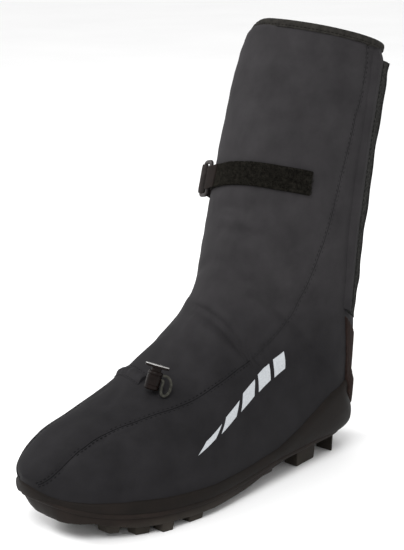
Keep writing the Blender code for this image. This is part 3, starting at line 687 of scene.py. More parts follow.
def toned(name, low, high, painted_light_low, painted_light_high, rough, specular):
    """Paint with fine grain and soft mottling that goes over to a second colour of painted light and shade.
    """
    paint, tree, shader, place = new_paint(name, rough, specular)
    patches = noise(tree, place, 24.0, 4.0, 0.6)
    mix = add_node(tree, "ShaderNodeMix", data_type="RGBA")
    painted_light = add_node(tree, "ShaderNodeAttribute", attribute_name="painted_light")
    tree.links.new(painted_light.outputs["Fac"], mix.inputs["Factor"])
    tree.links.new(ramp(tree, patches, low, high), mix.inputs["A"])
    tree.links.new(ramp(tree, patches, painted_light_low, painted_light_high), mix.inputs["B"])
    tree.links.new(mix.outputs["Result"], shader.inputs["Base Color"])
    tree.links.new(spread(tree, patches, rough - 0.06, rough + 0.06), shader.inputs["Roughness"])
    normal = bumped(tree, noise(tree, place, 9.0, 4.0, 0.6), 0.35, 0.8)
    normal = bumped(tree, noise(tree, place, 0.9, 2.0), 0.35, 0.12, normal)
    tree.links.new(normal, shader.inputs["Normal"])
    return paint


# Second pair of colours: the darker foot, painted shade
FABRIC = toned("coated_fabric", (0.0190, 0.0179, 0.0190), (0.0284, 0.0268, 0.0283),
               (0.0102, 0.0097, 0.0105), (0.0158, 0.0151, 0.0163), 0.68, 0.04)
# Second pair of colours: lighter lugs, painted light from below
RUBBER = toned("sole_rubber", (0.0080, 0.0062, 0.0053), (0.0155, 0.0114, 0.0096),
               (0.0230, 0.0200, 0.0165), (0.0400, 0.0350, 0.0290), 0.62, 0.07)
# Grains of webbing and of thread
WEAVE = [(1.1, 0.6, 0.3), (0.45, 0.4, 0.12)]
TWIST = [(0.5, 0.4, 0.1)]
LINING = mottled("lining", (0.010, 0.010, 0.011), (0.016, 0.016, 0.017), 0.9, 18.0, [(0.8, 0.4, 0.15)])
RAND = mottled("rand_rubber", (0.0072, 0.0062, 0.0055), (0.0118, 0.0094, 0.0083), 0.60, 20.0,
               [(6.0, 0.12, 0.3), (0.6, 0.35, 0.1)])
HEM = mottled("hem_tape", (0.0120, 0.0113, 0.0102), (0.0260, 0.0242, 0.0216), 0.85, 4.0,
              [(1.2, 0.6, 0.3), (0.5, 0.5, 0.15)])
PILE_BASE = mottled("pile_backing", (0.003, 0.0027, 0.0022), (0.008, 0.0072, 0.0058), 0.95, 2.2,
                    [(0.8, 0.8, 0.4)], specular=0.04)
PILE = mottled("loop_pile", (0.0060, 0.0055, 0.0044), (0.0225, 0.0207, 0.0168), 0.95, 2.6, [(0.5, 0.6, 0.1)])
WEBBING = mottled("strap_webbing", (0.0062, 0.0044, 0.0038), (0.0132, 0.0096, 0.0084), 0.85, 3.0, WEAVE)
GREY_WEBBING = mottled("loop_webbing", (0.0180, 0.0155, 0.0148), (0.0330, 0.0285, 0.0275), 0.85, 3.0, WEAVE)
TAPE = mottled("closure_tape", (0.004, 0.004, 0.0038), (0.034, 0.0335, 0.0315), 0.85, 1.5, [(0.9, 0.8, 0.35)])
TAPE_EDGE = mottled("closure_under", (0.003, 0.003, 0.003), (0.024, 0.0236, 0.0226), 0.9, 1.4,
                    [(0.7, 0.8, 0.3)])
BROWN = mottled("heel_webbing", (0.0105, 0.0066, 0.0056), (0.021, 0.0132, 0.0112), 0.85, 3.0,
                [(0.9, 0.6, 0.25)])
RING = mottled("ring_plastic", (0.022, 0.0185, 0.0178), (0.036, 0.0305, 0.0295), 0.45, 6.0,
               [(1.0, 0.1, 0.1)], specular=0.22)
LOCK = mottled("lock_plastic", (0.0030, 0.0016, 0.0013), (0.0062, 0.0034, 0.0028), 0.40, 5.0,
               [(1.4, 0.12, 0.12)], specular=0.09)
# Light grey top plate of the button: a painted highlight
CAP_HIGHLIGHT = mottled("cap_plastic", (0.26, 0.255, 0.25), (0.38, 0.37, 0.36), 0.24, 4.0, [(1.6, 0.06, 0.1)],
              specular=0.5, coat=0.3, rough_spread=0.05)
CORD = mottled("cord_elastic", (0.017, 0.0166, 0.0138), (0.046, 0.0449, 0.0378), 0.75, 1.6,
               [(0.6, 0.7, 0.2)], specular=0.07)
THREAD = mottled("seam_thread", (0.0036, 0.0036, 0.0039), (0.0066, 0.0066, 0.0072), 0.8, 2.0, TWIST, 0.04)
SHAFT_THREAD = mottled("shaft_thread", (0.0100, 0.0097, 0.0102), (0.0160, 0.0155, 0.0162), 0.8, 2.0,
                       TWIST, 0.04)
HEM_THREAD = mottled("hem_thread", (0.006, 0.0054, 0.0048), (0.012, 0.0108, 0.0096), 0.8, 2.0, TWIST)
SILVER = mottled("silver_print", (0.34, 0.356, 0.372), (0.42, 0.437, 0.455), 0.5, 1.1,
                 [(0.35, 0.35, 0.06)], specular=0.3)


# Upper

def zipped(a, a_run, b, b_run):
    """Triangles between two lines of vertices of different counts."""
    faces = []
    i = 0
    j = 0
    while i < len(a) - 1 or j < len(b) - 1:
        if j == len(b) - 1 or (i < len(a) - 1 and a_run[i + 1] <= b_run[j + 1]):
            faces.append([a[i], a[i + 1], b[j]])
            i += 1
        else:
            faces.append([a[i], b[j + 1], b[j]])
            j += 1
    return faces


# Heights in mm between which the fabric darkens from the shaft to the foot: painted shade on the foot
FOOT_PAINTED_SHADE = (150.0, 88.0)
# Heights in mm between which the sole goes over to lighter lugs: painted light from below
LUG_PAINTED_LIGHT = (13.0, 4.0)
# Depth in mm by which the upper's lower edge reaches into the sole
EDGE_SINK = 0.7


def paint_light_by_height(ob, top, bottom):
    """Store how far each point has gone over to the painted light and shade colour, between two heights in
    mm.
    """
    painted_light = ob.data.attributes.new("painted_light", "FLOAT", "POINT")
    high = np.array([v.co.z for v in ob.data.vertices]) / MM
    painted_light.data.foreach_set("value", np.clip((top - high) / (top - bottom), 0, 1).astype(np.float32))


def build_upper():
    """One closed shell: the folded outside, the lining that follows it and the rims between them."""
    at = stations((0, 1, 13), (1, 8, 100), (8, 9.4, 46), (9.4, 13, 62), (13, TOP, 108))
    around = np.linspace(0, 2, 219)
    outer = dressed(*crossed(at, around))
    sunk = outer[:, [0, -1]] - np.array([0, 0, EDGE_SINK]) * (at < HEEL)[:, None, None]
    outer = np.concatenate([sunk[:, :1], outer, sunk[:, 1:]], 1)
    rows, columns = outer.shape[:2]
    in_at = stations((0, 1, 7), (1, TOP, 136))
    in_round = np.linspace(0, 2, 91)
    inner = dressed(*crossed(in_at, in_round), -UPPER_WALL)
    count = rows * columns
    faces = grid_quads(rows, columns)
    outside = len(faces)
    faces += [f[::-1] for f in grid_quads(*inner.shape[:2], start=count)]
    ring_out = [(rows - 1) * columns + j for j in range(columns)]
    ring_in = [count + (len(in_at) - 1) * len(in_round) + j for j in range(len(in_round))]
    faces += zipped(ring_out, np.linspace(0, 2, columns), ring_in, in_round)
    low_out = [i for i in range(rows) if at[i] <= HEEL]
    low_in = [i for i in range(len(in_at)) if in_at[i] <= HEEL]
    for c_out, c_in in ((0, 0), (columns - 1, len(in_round) - 1)):
        faces += zipped([i * columns + c_out for i in low_out], at[low_out],
                        [count + i * len(in_round) + c_in for i in low_in], in_at[low_in])
    points = np.concatenate([outer.reshape(-1, 3), inner.reshape(-1, 3)])
    indices = [0] * outside + [1] * (len(faces) - outside)
    ob = add_piece("upper_shell", points, faces, [FABRIC, LINING], "upper", "upper", indices=indices,
                   weld=0.004, recalc=True)
    # The foot is darkened with painted shade
    paint_light_by_height(ob, *FOOT_PAINTED_SHADE)


# Stitches, seams and prints

def line_frame(line, step, side=0.0, lift=0.0):
    """Points, directions and normals along a seam line, moved sideways and off the upper in mm."""
    q = rounded_line(line)
    a, r = spaced(surface(q[:, 0], q[:, 1]), q, step).T
    n = outward(a, r)
    p = dressed(a, r, lift)
    t = unit(np.gradient(p, axis=0))
    b = unit(np.cross(n, t))
    return p + b * side, t, n, b


# Rings of a stitch: place along it and thickness as shares, and lift in thread radii
STITCH = [(-0.5, 0.25, -0.25), (-0.32, 0.85, 0.1), (0, 1, 0.3), (0.32, 0.85, 0.1), (0.5, 0.25, -0.25)]
THREAD_SIDES = 6


def stitch_points(p, t, n, long, radius):
    """Rings of one thread stitch: sunk ends, a round middle."""
    b = np.cross(n, t)
    turn = np.linspace(0, 2 * np.pi, THREAD_SIDES, endpoint=False)
    rings = []
    for where, size, lift in STITCH:
        ring = p + t * where * long + n * lift * radius
        rings.append(ring + (np.outer(np.cos(turn), b) + np.outer(np.sin(turn), n) * 0.8) * size * radius)
    return np.concatenate(rings)


def add_stitches(name, frames, paint, slot, long, radius):
    """Thread stitches at every place of the given line frames."""
    faces = tube_faces(len(STITCH), THREAD_SIDES)
    stitches = [(stitch_points(*place, long, radius), faces) for p, t, n in frames for place in zip(p, t, n)]
    return add_piece(name, *joined(stitches), [paint], slot)


# Section of a seam: places across it and heights, as shares of its half width and its height
SEAM_RING = np.array([(-1.0, -0.5), (-0.7, 0.6), (0.0, 1.0), (0.7, 0.6), (1.0, -0.5), (0.0, -1.0)])


def add_seam(name, lines, half, high, paint, slot):
    """Narrow dark seam lying in its trough."""
    seams = []
    for line in lines:
        p, _, n, b = line_frame(line, step=1.2)
        ring = p[:, None] + b[:, None] * SEAM_RING[:, :1] * half + n[:, None] * SEAM_RING[:, 1:] * high
        seams.append((ring.reshape(-1, 3), tube_faces(len(p), len(SEAM_RING))))
    return add_piece(name, *joined(seams), [paint], slot)


# Places of the stitch rows beside a panel seam, in mm
STITCH_ROWS = (-1.6, 1.6)


def build_seams():
    """Panel seams on both sides, each between two rows of stitches."""
    for name, line, paint in (("rear_panel", REAR_SEAM, SHAFT_THREAD), ("vamp", VAMP_SEAM, THREAD)):
        both = [line, mirrored(line)]
        add_seam(name + "_seams", both, half=0.34, high=0.26, paint=paint, slot="upper")
        frames = [line_frame(way, step=3.5, side=row, lift=0.1)[:3] for way in both for row in STITCH_ROWS]
        add_stitches(name + "_stitches", frames, paint, "upper", long=2.2, radius=0.31)


# Reflective marks: section numbers of both ends and breadth in mm; the line they lie on; their slant in mm
MARKS = [(5.75, 6.35, 6.0), (6.55, 7.15, 7.5), (7.35, 7.95, 9.0), (8.15, 8.75, 10.5), (8.95, 9.55, 12.0)]
MARK_LINE = [(5.4, 0.43), (6.4, 0.478), (7.4, 0.505), (8.4, 0.515), (9.8, 0.515)]
MARK_SLANT = 9.0
# Heights in mm of the film's underside and of its face
MARK_SINK = -0.1
MARK_LIFT = 0.16


def build_marks():
    """Broken stripe of plain slanted dashes in silver film."""
    dashes = []
    for first, last, broad in MARKS:
        a, v = crossed(np.linspace(first, last, 22), np.linspace(-0.5, 0.5, 9))
        line = read_line(MARK_LINE, a)
        r = line + v * broad / pace_round(a, line)
        a = a + v * MARK_SLANT / pace_along(a, line, 0.05)
        n = outward(a, r)
        base = dressed(a, r)
        dashes.append(closed_slab(base + n * MARK_SINK, base + n * MARK_LIFT))
    add_piece("reflective_dashes", *joined(dashes), [SILVER], "upper", sharp=40)


# Rand

# Breadth in mm of the feathered top edge and what the toe adds to it, and the rounding of the lower edge
RAND_FEATHER = 6.5
TOE_FEATHER = 6.0
RAND_ROUND = 0.8
# Bead along the top edge: height, distance from the edge and half width in mm
RAND_BEAD = (0.14, 1.2, 0.6)
# Depths in mm of the rand's edges and of its back below the cloth
RAND_BED = 0.3
RAND_SINK = 0.5


def build_rand():
    """Rubber band with a feathered top edge and a low bead along it, rising to the heel patch."""
    at = stations((0, 1, 16), (1, 9, 110), (9, HEEL, 50), (HEEL, RAND_END, 40))
    tries = np.linspace(0, 0.5, 240)
    p = surface(at[:, None], tries[None])
    above = p[..., 2] - rand_height(p[..., 0])
    start = np.where(at < HEEL, RAND_FOOT * (1 - 0.2 * np.clip(1 - at / 3, 0, 1)), 0.0)
    start = np.where((at > HEEL - 1) & (at < HEEL), RAND_FOOT * np.maximum(HEEL - at, 0) ** 0.5, start)
    start = np.where(at < HEEL, start * 0.55, start)
    steps = crowded(22)
    m = len(steps)
    count = len(at) * m
    last = (len(at) - 1) * m
    grid_at = np.repeat(at[:, None], m, 1)
    feather = RAND_FEATHER + TOE_FEATHER * np.clip(1 - at / 2.5, 0, 1)[:, None]
    bead, bead_place, bead_half = RAND_BEAD
    rim = [(i * m + m - 1, (i + 1) * m + m - 1) for i in range(len(at) - 1)]
    rim += [(i * m, (i + 1) * m) for i in range(len(at) - 1) if at[i + 1] <= HEEL]
    rim += [(last + j, last + j + 1) for j in range(m - 1)]
    sides = []
    for flip, dips in zip((False, True), RAND_DIPS):
        lower = read_line(dips, at)
        top = np.array([max(np.interp(0.0, above[i] + lower[i], tries), 0.05) for i in range(len(at))])
        side = start[:, None] + (top - start)[:, None] * steps
        r = 2 - side if flip else side
        base = surface(grid_at, r)
        n = outward(grid_at, r)
        run = run_length(base, 1)
        from_top = run[:, -1:] - run
        rise = rounded_rise(from_top, RAND_LIFT + RAND_BED, feather) - RAND_BED
        below = rounded_rise(run, RAND_LIFT + RAND_BED, RAND_ROUND) - RAND_BED
        rise = np.minimum(rise, np.where((at < HEEL)[:, None], below, RAND_LIFT))
        rise = rise + bead * np.exp(-((from_top - bead_place) / bead_half) ** 2)
        over = base + n * rise[..., None]
        under = base - n * RAND_SINK
        faces = grid_quads(len(at), m)
        faces += [f[::-1] for f in grid_quads(len(at), m, start=count)]
        if flip:
            faces = [f[::-1] for f in faces]
        faces += [[a, b, b + count, a + count] for a, b in rim]
        sides.append((np.concatenate([over.reshape(-1, 3), under.reshape(-1, 3)]), faces))
    add_piece("rand_band", *joined(sides), [RAND], "rand", "rand", weld=0.004, recalc=True)


# Sole

def edge_line(at, side):
    """Edge of the upper in plan and its outward direction; side is 0 outer or 2 inner."""
    p = surface(at, side)
    d = surface(np.clip(at + STEP, 0, HEEL_EDGE), side) - surface(np.clip(at - STEP, 0, HEEL_EDGE), side)
    n = np.stack([d[..., 1], -d[..., 0], np.zeros_like(d[..., 0])], -1)
    n = unit(n * np.where(side == 0, 1.0, -1.0))
    n[at <= 0.001] = (1, 0, 0)
    n[at >= HEEL - 0.001] = (-1, 0, 0)
    return p, n


def lug_block(first, last, near, far, lowest, read):
    """One tapered tread block with rounded edges, as points and faces."""
    bm = bmesh.new()
    corners = ((first, near, (1, 1)), (last, near, (-1, 1)), (last, far, (-1, -1)), (first, far, (1, -1)))
    roots = []
    feet = []
    for s, part, push in corners:
        w_out = read(0, s, 1)
        w = w_out + (read(1, s, 1) - w_out) * part
        roots.append(bm.verts.new((s, w, read(0, s, 2) - LUG_ROOT)))
        feet.append(bm.verts.new((s + push[0] * LUG_TAPER, w - push[1] * LUG_TAPER, lowest)))
    bm.faces.new(roots)
    bm.faces.new(feet[::-1])
    for i in range(4):
        k = (i + 1) % 4
        bm.faces.new((roots[i], feet[i], feet[k], roots[k]))
    bmesh.ops.recalc_face_normals(bm, faces=bm.faces)
    bmesh.ops.bevel(bm, geom=list(bm.edges), offset=LUG_ROUND, segments=3, profile=0.6, affect="EDGES")
    bm.verts.index_update()
    points = np.array([v.co for v in bm.verts])
    faces = [[v.index for v in f.verts] for f in bm.faces]
    bm.free()
    return points, faces


def build_sole():
    """Sole plate with a rounded lip and a stepped side, a level toe bumper and rounded lugs."""
    at = np.concatenate([np.linspace(0, 4.2, 90), np.linspace(4.3, HEEL - 1, 80),
                         HEEL - 1 + np.linspace(0.04, 1, 24)])
    deep = read_line(PLATE_DEPTH, at)
    edges = [edge_line(np.minimum(at, HEEL_EDGE), side) for side in (0, 2)]
    fade = (INNER_FADE[1] - at) / (INNER_FADE[1] - INNER_FADE[0])
    toe_tucks = (TOE_TUCK * np.clip(1 - at / TUCK_SPAN, 0, 1) ** 0.8, TOE_TUCK * np.clip(fade, 0, 1))
    heel_tuck = HEEL_TUCK * np.clip(1 - (HEEL - at) / TUCK_SPAN, 0, 1)
    step = PLATE_REACH - PLATE_STEP
    foot = step - PLATE_DRAFT
    # Reach beyond the upper's edge in mm, share of the tucks, and depth below that edge in mm
    levels = [(PLATE_REACH - 1.6, 0.25, -0.3), (PLATE_REACH - 0.5, 0.25, -0.1),
              (PLATE_REACH, 0.26, FIT_GAP + 0.6), (PLATE_REACH, 0.29, PLATE_LIP - 0.6),
              (PLATE_REACH - 0.35, 0.3, PLATE_LIP - 0.05), (step - 0.1, 0.34, PLATE_LIP + 0.25),
              (step, 0.36, PLATE_LIP + 0.8), (step - 0.3, 0.50, 0.66 * PLATE_LIP + 0.34 * deep),
              (step - 0.5, 0.70, 0.34 * PLATE_LIP + 0.66 * deep), (foot, 0.92, deep - 0.9),
              (foot - 0.3, 0.97, deep - 0.3), (foot - 1.0, 1.0, deep)]
    loops = []
    for reach, share, depth in levels:
        both = []
        for (p, n), toe_tuck in zip(edges, toe_tucks):
            inward = unit((np.array([*TOE_CENTRE, 0.0]) - p) * np.array([1, 1, 0]))
            q = p + n * (reach - share * heel_tuck)[:, None] + inward * (share * toe_tuck)[:, None]
            q[:, 2] -= depth
            both.append(q)
        loops.append(np.concatenate([both[0], both[1][::-1]]))
    count = len(loops[0])
    faces = grid_quads(len(loops), count, wrap=True)
    for level, flip in ((0, False), (len(loops) - 1, True)):
        start = level * count
        for i in range(len(at) - 1):
            quad = [start + i, start + i + 1, start + count - 2 - i, start + count - 1 - i]
            faces.append(quad[::-1] if flip else quad)
    dense = np.linspace(0, HEEL_EDGE, 400)
    lines = (surface(dense, 0), surface(dense, 2))
    order = np.argsort(lines[0][:, 0])

    def read(side, s, column):
        return np.interp(s, lines[0][order, 0], lines[side][order, column])

    bodies = [(np.concatenate(loops), faces)] + [lug_block(*lug, read) for lug in LUGS + [ARCH_RIB]]
    ob = add_piece("outsole_tread", *joined(bodies), [RUBBER], "outsole", "outsole", sharp=42, weld=0.003,
                   recalc=True)
    # The lugs are painted lighter towards the bottom: painted light from below
    paint_light_by_height(ob, *LUG_PAINTED_LIGHT)


# Collar

# Depth of the binding on the outside, which is narrower than inside
HEM_SHOWN = 4.5
# Section of the binding: distance off the cloth and height above the rim in mm, and share of the puckering
HEM_RING = [
    (0.0, -HEM_SHOWN, 0.2), (0.75, -HEM_SHOWN + 0.05, 0.6), (1.15, -HEM_SHOWN + 0.7, 0.9), (1.1, -3.0, 0.3),
    (1.4, -2.2, 0.9), (1.5, -1.0, 1.0), (1.35, 0.2, 0.8), (0.8, 1.0, 0.5), (-0.1, 1.35, 0.4),
    (-1.5, 1.35, 0.4), (-2.4, 1.0, 0.3), (-2.95, 0.2, 0.2), (-3.1, -1.0, 0.2), (-3.0, -3.0, 0.2),
    (-2.7, -HEM_DEPTH + 0.3, 0.2), (-1.6, -HEM_DEPTH, 0.0), (-0.8, -HEM_DEPTH + 1.2, 0.0),
]
# Puckers of the binding: height and spacing in mm; unevenness of it: height and wave length in mm
PUCKER = 0.16
PUCKER_SPACING = 5.2
HEM_UNEVEN = (0.2, 22.0)
# Stitches of the binding: distance off the cloth and height above the rim in mm
HEM_STITCHES = (1.2, -3.0)


def build_hem():
    """Binding folded over the rim, puckered along its stitching."""
    around = np.linspace(0, 2, 361)[:-1]
    safe = np.where(around == 0, 0.0005, around)
    rim = surface(TOP, safe)
    n = outward(TOP - 0.002, safe)
    up = along(TOP - 0.002, safe)
    run = run_length(rim)
    pucker = PUCKER * np.sin(run * 2 * np.pi / PUCKER_SPACING + 1.2 * np.sin(run / 9.0))
    pucker = pucker + HEM_UNEVEN[0] * soft_waves(rim, HEM_UNEVEN[1], 8)
    points = np.concatenate([rim + n * (off + share * pucker)[:, None] + up * high
                             for off, high, share in HEM_RING])
    faces = ring_faces(len(HEM_RING), len(around))
    add_piece("collar_binding", points, faces, [HEM], "collar_hem", "collar_hem", recalc=True)
    keep = slice(0, len(around), 4)
    places = rim + n * HEM_STITCHES[0] + up * HEM_STITCHES[1]
    frames = [(places[keep], unit(np.gradient(rim, axis=0))[keep], n[keep])]
    add_stitches("collar_stitches", frames, HEM_THREAD, "collar_hem", long=2.2, radius=0.26)


# Strap and ring

def strap_grid(around, width, steps):
    """Section numbers over the strap's width at the given places round the shin."""
    middle = read_line(STRAP_LINE, around)
    return middle + steps[:, None] * width / pace_along(middle, around, 0.1)


def ring_frame():
    """Middle of the ring and its directions: along its bars, across it and off the upper."""
    at, around = RING_PLACE
    p = surface(at, around)
    n = outward(at, around)
    t = across(at, around)
    up = along(at, around)
    lean = np.radians(RING_STAND)
    wide = t * np.cos(lean) + n * np.sin(lean)
    return p + n * RING_LIFT + wide * (RING_WIDTH / 2 - 1.0), up, wide, n


def build_strap():
    """Backing of the strap, its pile and its fold through the ring."""
    around = between(STRAP_ENDS, crowded(90))
    at = strap_grid(around, STRAP_WIDTH, crowded(13) - 0.5)
    pad("calf_strap_band", at, np.broadcast_to(around, at.shape), thick=STRAP_THICK - 0.4, edge=0.7,
        paint=PILE_BASE, slot="calf_strap", node="calf_strap", extra=FIT_GAP - 0.2)
    build_pile()
    build_strap_fold()


# Pile: number of loops, height and thread radius in mm, its stretch round the shin and its breadth in mm
PILE_LOOPS = 5200
PILE_HIGH = 1.3
PILE_THREAD = 0.15
PILE_SPAN = (0.578, 1.17)
PILE_WIDTH = STRAP_WIDTH - 1.4
LOOP_RINGS = 6
LOOP_SIDES = 3


def build_pile():
    """Short thread loops standing on the strap's open length."""
    around = random.uniform(*PILE_SPAN, PILE_LOOPS)
    offset = random.uniform(-0.5, 0.5, PILE_LOOPS) * PILE_WIDTH
    middle = read_line(STRAP_LINE, around)
    at = middle + offset / pace_along(middle, around, 0.1)
    base = dressed(at, around, STRAP_THICK + FIT_GAP - 0.75)
    n = outward(at, around)
    turn = random.uniform(0, 2 * np.pi, PILE_LOOPS)
    run = across(at, around) * np.cos(turn)[:, None] + along(at, around) * np.sin(turn)[:, None]
    side = np.cross(n, run)
    span = random.uniform(0.5, 1.1, PILE_LOOPS)
    high = PILE_HIGH * random.uniform(0.6, 1.0, PILE_LOOPS)
    lean = random.uniform(-0.5, 0.5, PILE_LOOPS)
    rings = []
    for a in np.linspace(0, np.pi, LOOP_RINGS):
        mid = (base + run * (-np.cos(a) * span)[:, None] + n * (np.sin(a) * high)[:, None]
               + side * (np.sin(a) * lean)[:, None])
        out = -run * math.cos(a) + n * math.sin(a)
        for angle in np.linspace(0, 2 * np.pi, LOOP_SIDES, endpoint=False):
            rings.append(mid + (out * math.cos(angle) + side * math.sin(angle)) * PILE_THREAD)
    points = np.stack(rings, 1).reshape(-1, 3)
    quads = np.array(grid_quads(LOOP_RINGS, LOOP_SIDES, wrap=True))
    starts = np.arange(PILE_LOOPS) * len(rings)
    faces = (quads[None] + starts[:, None, None]).reshape(-1, 4).tolist()
    add_piece("strap_loop_pile", points, faces, [PILE], "calf_strap")


# Thickness of a band's edges as a share of the band's own
BAND_EDGE = 0.45
# Width of the strap where it goes through the ring, and of the webbing that fills the ring's far side
FOLD_WIDTH = STRAP_WIDTH - 0.6
LOOP_WIDTH = RING_LENGTH - 2 * RING_BAR - 0.6


def band_slab(path, thick):
    """Closed band from a grid of middle points (along, across)."""
    run = unit(np.gradient(path, axis=0))
    wide = unit(np.gradient(path, axis=1))
    n = unit(np.cross(run, wide))
    edge = np.ones(path.shape[:2])
    edge[:, [0, -1]] = BAND_EDGE
    edge[[0, -1], :] = BAND_EDGE
    return closed_slab(path - n * thick / 2 * edge[..., None], path + n * thick / 2 * edge[..., None])


def bar_loop(bar_side, radius, width, angles, ends, section_at):
    """Middle grid of a band that comes off the upper, turns round a bar of the ring and goes back.

    The ends are lists of (way round, lift in mm), and section_at gives the section number there.
    """
    middle, up, wide, n = ring_frame()
    bar = middle + bar_side * wide * (RING_WIDTH - RING_BAR) / 2
    side = unit(np.cross(up, n))
    side = side * np.sign(np.dot(side, wide))
    rows = []
    for step in np.linspace(-0.5, 0.5, 9):
        place = bar + up * step * width
        start, end = [[dressed(section_at(r, step), r, lift) for r, lift in points] for points in ends]
        turn = [place + side * radius * math.cos(a) + n * radius * math.sin(a) for a in np.radians(angles)]
        rows.append(even_line(rounded_line(start + turn + end, 1), 0.8))
    count = min(len(r) for r in rows)
    return np.stack([r[np.linspace(0, len(r) - 1, count).round().astype(int)] for r in rows], 1)


def build_strap_fold():
    """Strap end drawn through the ring round its near bar and laid back on itself."""
    def section_at(r, step):
        return strap_grid(np.array([min(r, STRAP_ENDS[1])]), FOLD_WIDTH, np.array([step]))[0, 0]

    ends = ([(1.16, 1.2), (1.20, 1.1), (1.24, 1.0), (1.27, 0.9)],
            [(1.26, 4.6), (1.235, 3.9), (1.21, 3.3), (1.185, 3.0), (1.16, 2.9)])
    path = bar_loop(-1, RING_BAR / 2 + 0.75, FOLD_WIDTH, np.linspace(-80, 80, 9), ends, section_at)
    add_piece("strap_fold", *band_slab(path, thick=1.2), [WEBBING], "calf_strap", recalc=True, sharp=50)


# Places of the anchor's stitches, as (section number, way round)
ANCHOR_BOX = [(15.57, 1.46), (15.95, 1.46), (15.95, 1.49), (15.57, 1.49), (15.57, 1.46)]


def build_anchor():
    """Webbing tab on the inner side and its loop through the ring's far side."""
    at, around = crossed(between(ANCHOR_AT, crowded(16)), between(ANCHOR_ROUND, crowded(22)))
    pad("strap_anchor_tab", at, around, thick=1.5, edge=0.6, paint=GREY_WEBBING, slot="strap_anchor",
        node="strap_anchor", extra=0.2)

    def section_at(r, step):
        return STRAP_LINE[-1][1] + step * 0.46

    ends = ([(1.44, 1.6), (1.41, 1.5), (1.385, 1.4)], [(1.40, 4.2), (1.43, 3.0), (1.455, 2.6)])
    path = bar_loop(1, RING_BAR / 2 + 0.7, LOOP_WIDTH, np.linspace(-60, -290, 11), ends, section_at)
    add_piece("strap_anchor_loop", *band_slab(path, thick=1.1), [GREY_WEBBING], "strap_anchor", recalc=True,
              sharp=50)
    frames = [line_frame(way, step=2.6, lift=1.75)[:3] for way in zip(ANCHOR_BOX[:-1], ANCHOR_BOX[1:])]
    add_stitches("anchor_stitches", frames, THREAD, "strap_anchor", long=1.9, radius=0.24)


def build_ring():
    """Moulded rectangular ring with rounded corners and bars."""
    middle, up, wide, _ = ring_frame()
    normal = unit(np.cross(up, wide))
    straight_long = (RING_LENGTH - RING_BAR) / 2 - RING_CORNER
    straight_wide = (RING_WIDTH - RING_BAR) / 2 - RING_CORNER
    path = []
    for sx, sy, start in ((1, 1, 0), (-1, 1, 90), (-1, -1, 180), (1, -1, 270)):
        for a in np.radians(np.linspace(start, start + 90, 7)):
            path.append((sx * straight_long + RING_CORNER * math.cos(a),
                         sy * straight_wide + RING_CORNER * math.sin(a)))
    path = even_line(np.array(path + path[:1]), 0.8)[:-1]
    tangent = unit(np.roll(path, -1, 0) - np.roll(path, 1, 0))
    outer = np.stack([tangent[:, 1], -tangent[:, 0]], -1)
    turn = np.linspace(0, 2 * np.pi, 14, endpoint=False)
    round_out = np.sign(np.cos(turn)) * np.abs(np.cos(turn)) ** 0.7 * RING_BAR / 2
    round_up = np.sign(np.sin(turn)) * np.abs(np.sin(turn)) ** 0.7 * RING_THICK / 2
    flat = path[:, None] + outer[:, None] * round_out[None, :, None]
    points = middle + flat[..., :1] * up + flat[..., 1:] * wide + round_up[None, :, None] * normal
    faces = ring_faces(*points.shape[:2])
    add_piece("ring_frame", points.reshape(-1, 3), faces, [RING], "strap_ring", "strap_ring", recalc=True)


# Rear closure and heel tape

# Waves of the closure's free edge: height in mm, rate along the sections, phase, and power of the breadth
CLOSURE_WAVES = [(0.35, 5.1, 0.0, 2), (0.25, 11.3, 1.0, 3)]


def closure_grid(at, part, lift):
    """Points of the flat rear band: part runs from its seamed front (0) to its free rear edge (1)."""
    breadth = read_line(CLOSURE, at)
    p = surface(at, CLOSURE_FRONT)
    n = outward(at, CLOSURE_FRONT)
    t = -across(at, CLOSURE_FRONT)
    wave = sum(high * np.sin(at * rate + phase) * part**power for high, rate, phase, power in CLOSURE_WAVES)
    return p + t * (breadth * part)[..., None] + n * (FIT_GAP + lift + wave)[..., None]


# Shares of the closure's breadth: where its tapes show, where the fabric edge runs, where the top tape ends
CLOSURE_COVER = 0.36
FABRIC_EDGE = (-0.22, 0.36)
CLOSURE_SPLIT = 0.72
# Sections over which the fabric edge sinks back on the shaft below the binding
EDGE_TOP = (18.36, 18.9)
# Heights in mm of the fabric edge's outside and underside: at its front, and what they gain behind it
EDGE_OVER = (-0.12, 3.5)
EDGE_UNDER = (-0.5, 3.05)
# Shares of the closure's breadth: where the fabric edge has its full height, and over which its fold turns
EDGE_FULL = 0.05
EDGE_TURN = 0.10
# Height in mm by which the tapes' free edges spring off, and the rounding of their edges in mm
TAPE_SPRING = 1.5
TAPE_ROUNDING = 0.5
# Rows of stitches on the closure: shares of its breadth and heights in mm, and the sections they run over
CLOSURE_ROWS = [(0.34, 3.55), (0.64, 2.95), (0.95, 2.45)]
CLOSURE_STITCHED = (14.25, 18.3)


def closure_layer(name, last, lift, thick, paint, node=None):
    """One flat tape of the rear closure up to a share of its breadth, with rounded edges."""
    at, part = crossed(between(CLOSURE_ENDS, crowded(150)), last * crowded(24))
    lift = lift + TAPE_SPRING * np.clip((part - CLOSURE_COVER) / (1 - CLOSURE_COVER), 0, 1)
    rise = rounded_rise(rim_distance(closure_grid(at, part, lift)), thick / 2, TAPE_ROUNDING)
    under = closure_grid(at, part, lift + thick / 2 - rise)
    over = closure_grid(at, part, lift + thick / 2 + rise)
    slab = closed_slab(under[:, ::-1], over[:, ::-1])
    return add_piece(name, *slab, [paint], "rear_closure", node, sharp=50)


def near_rim(at):
    """How far the fabric edge has sunk back on the shaft, from 0 to 1."""
    return soft_step((at - EDGE_TOP[0]) / (EDGE_TOP[1] - EDGE_TOP[0]))


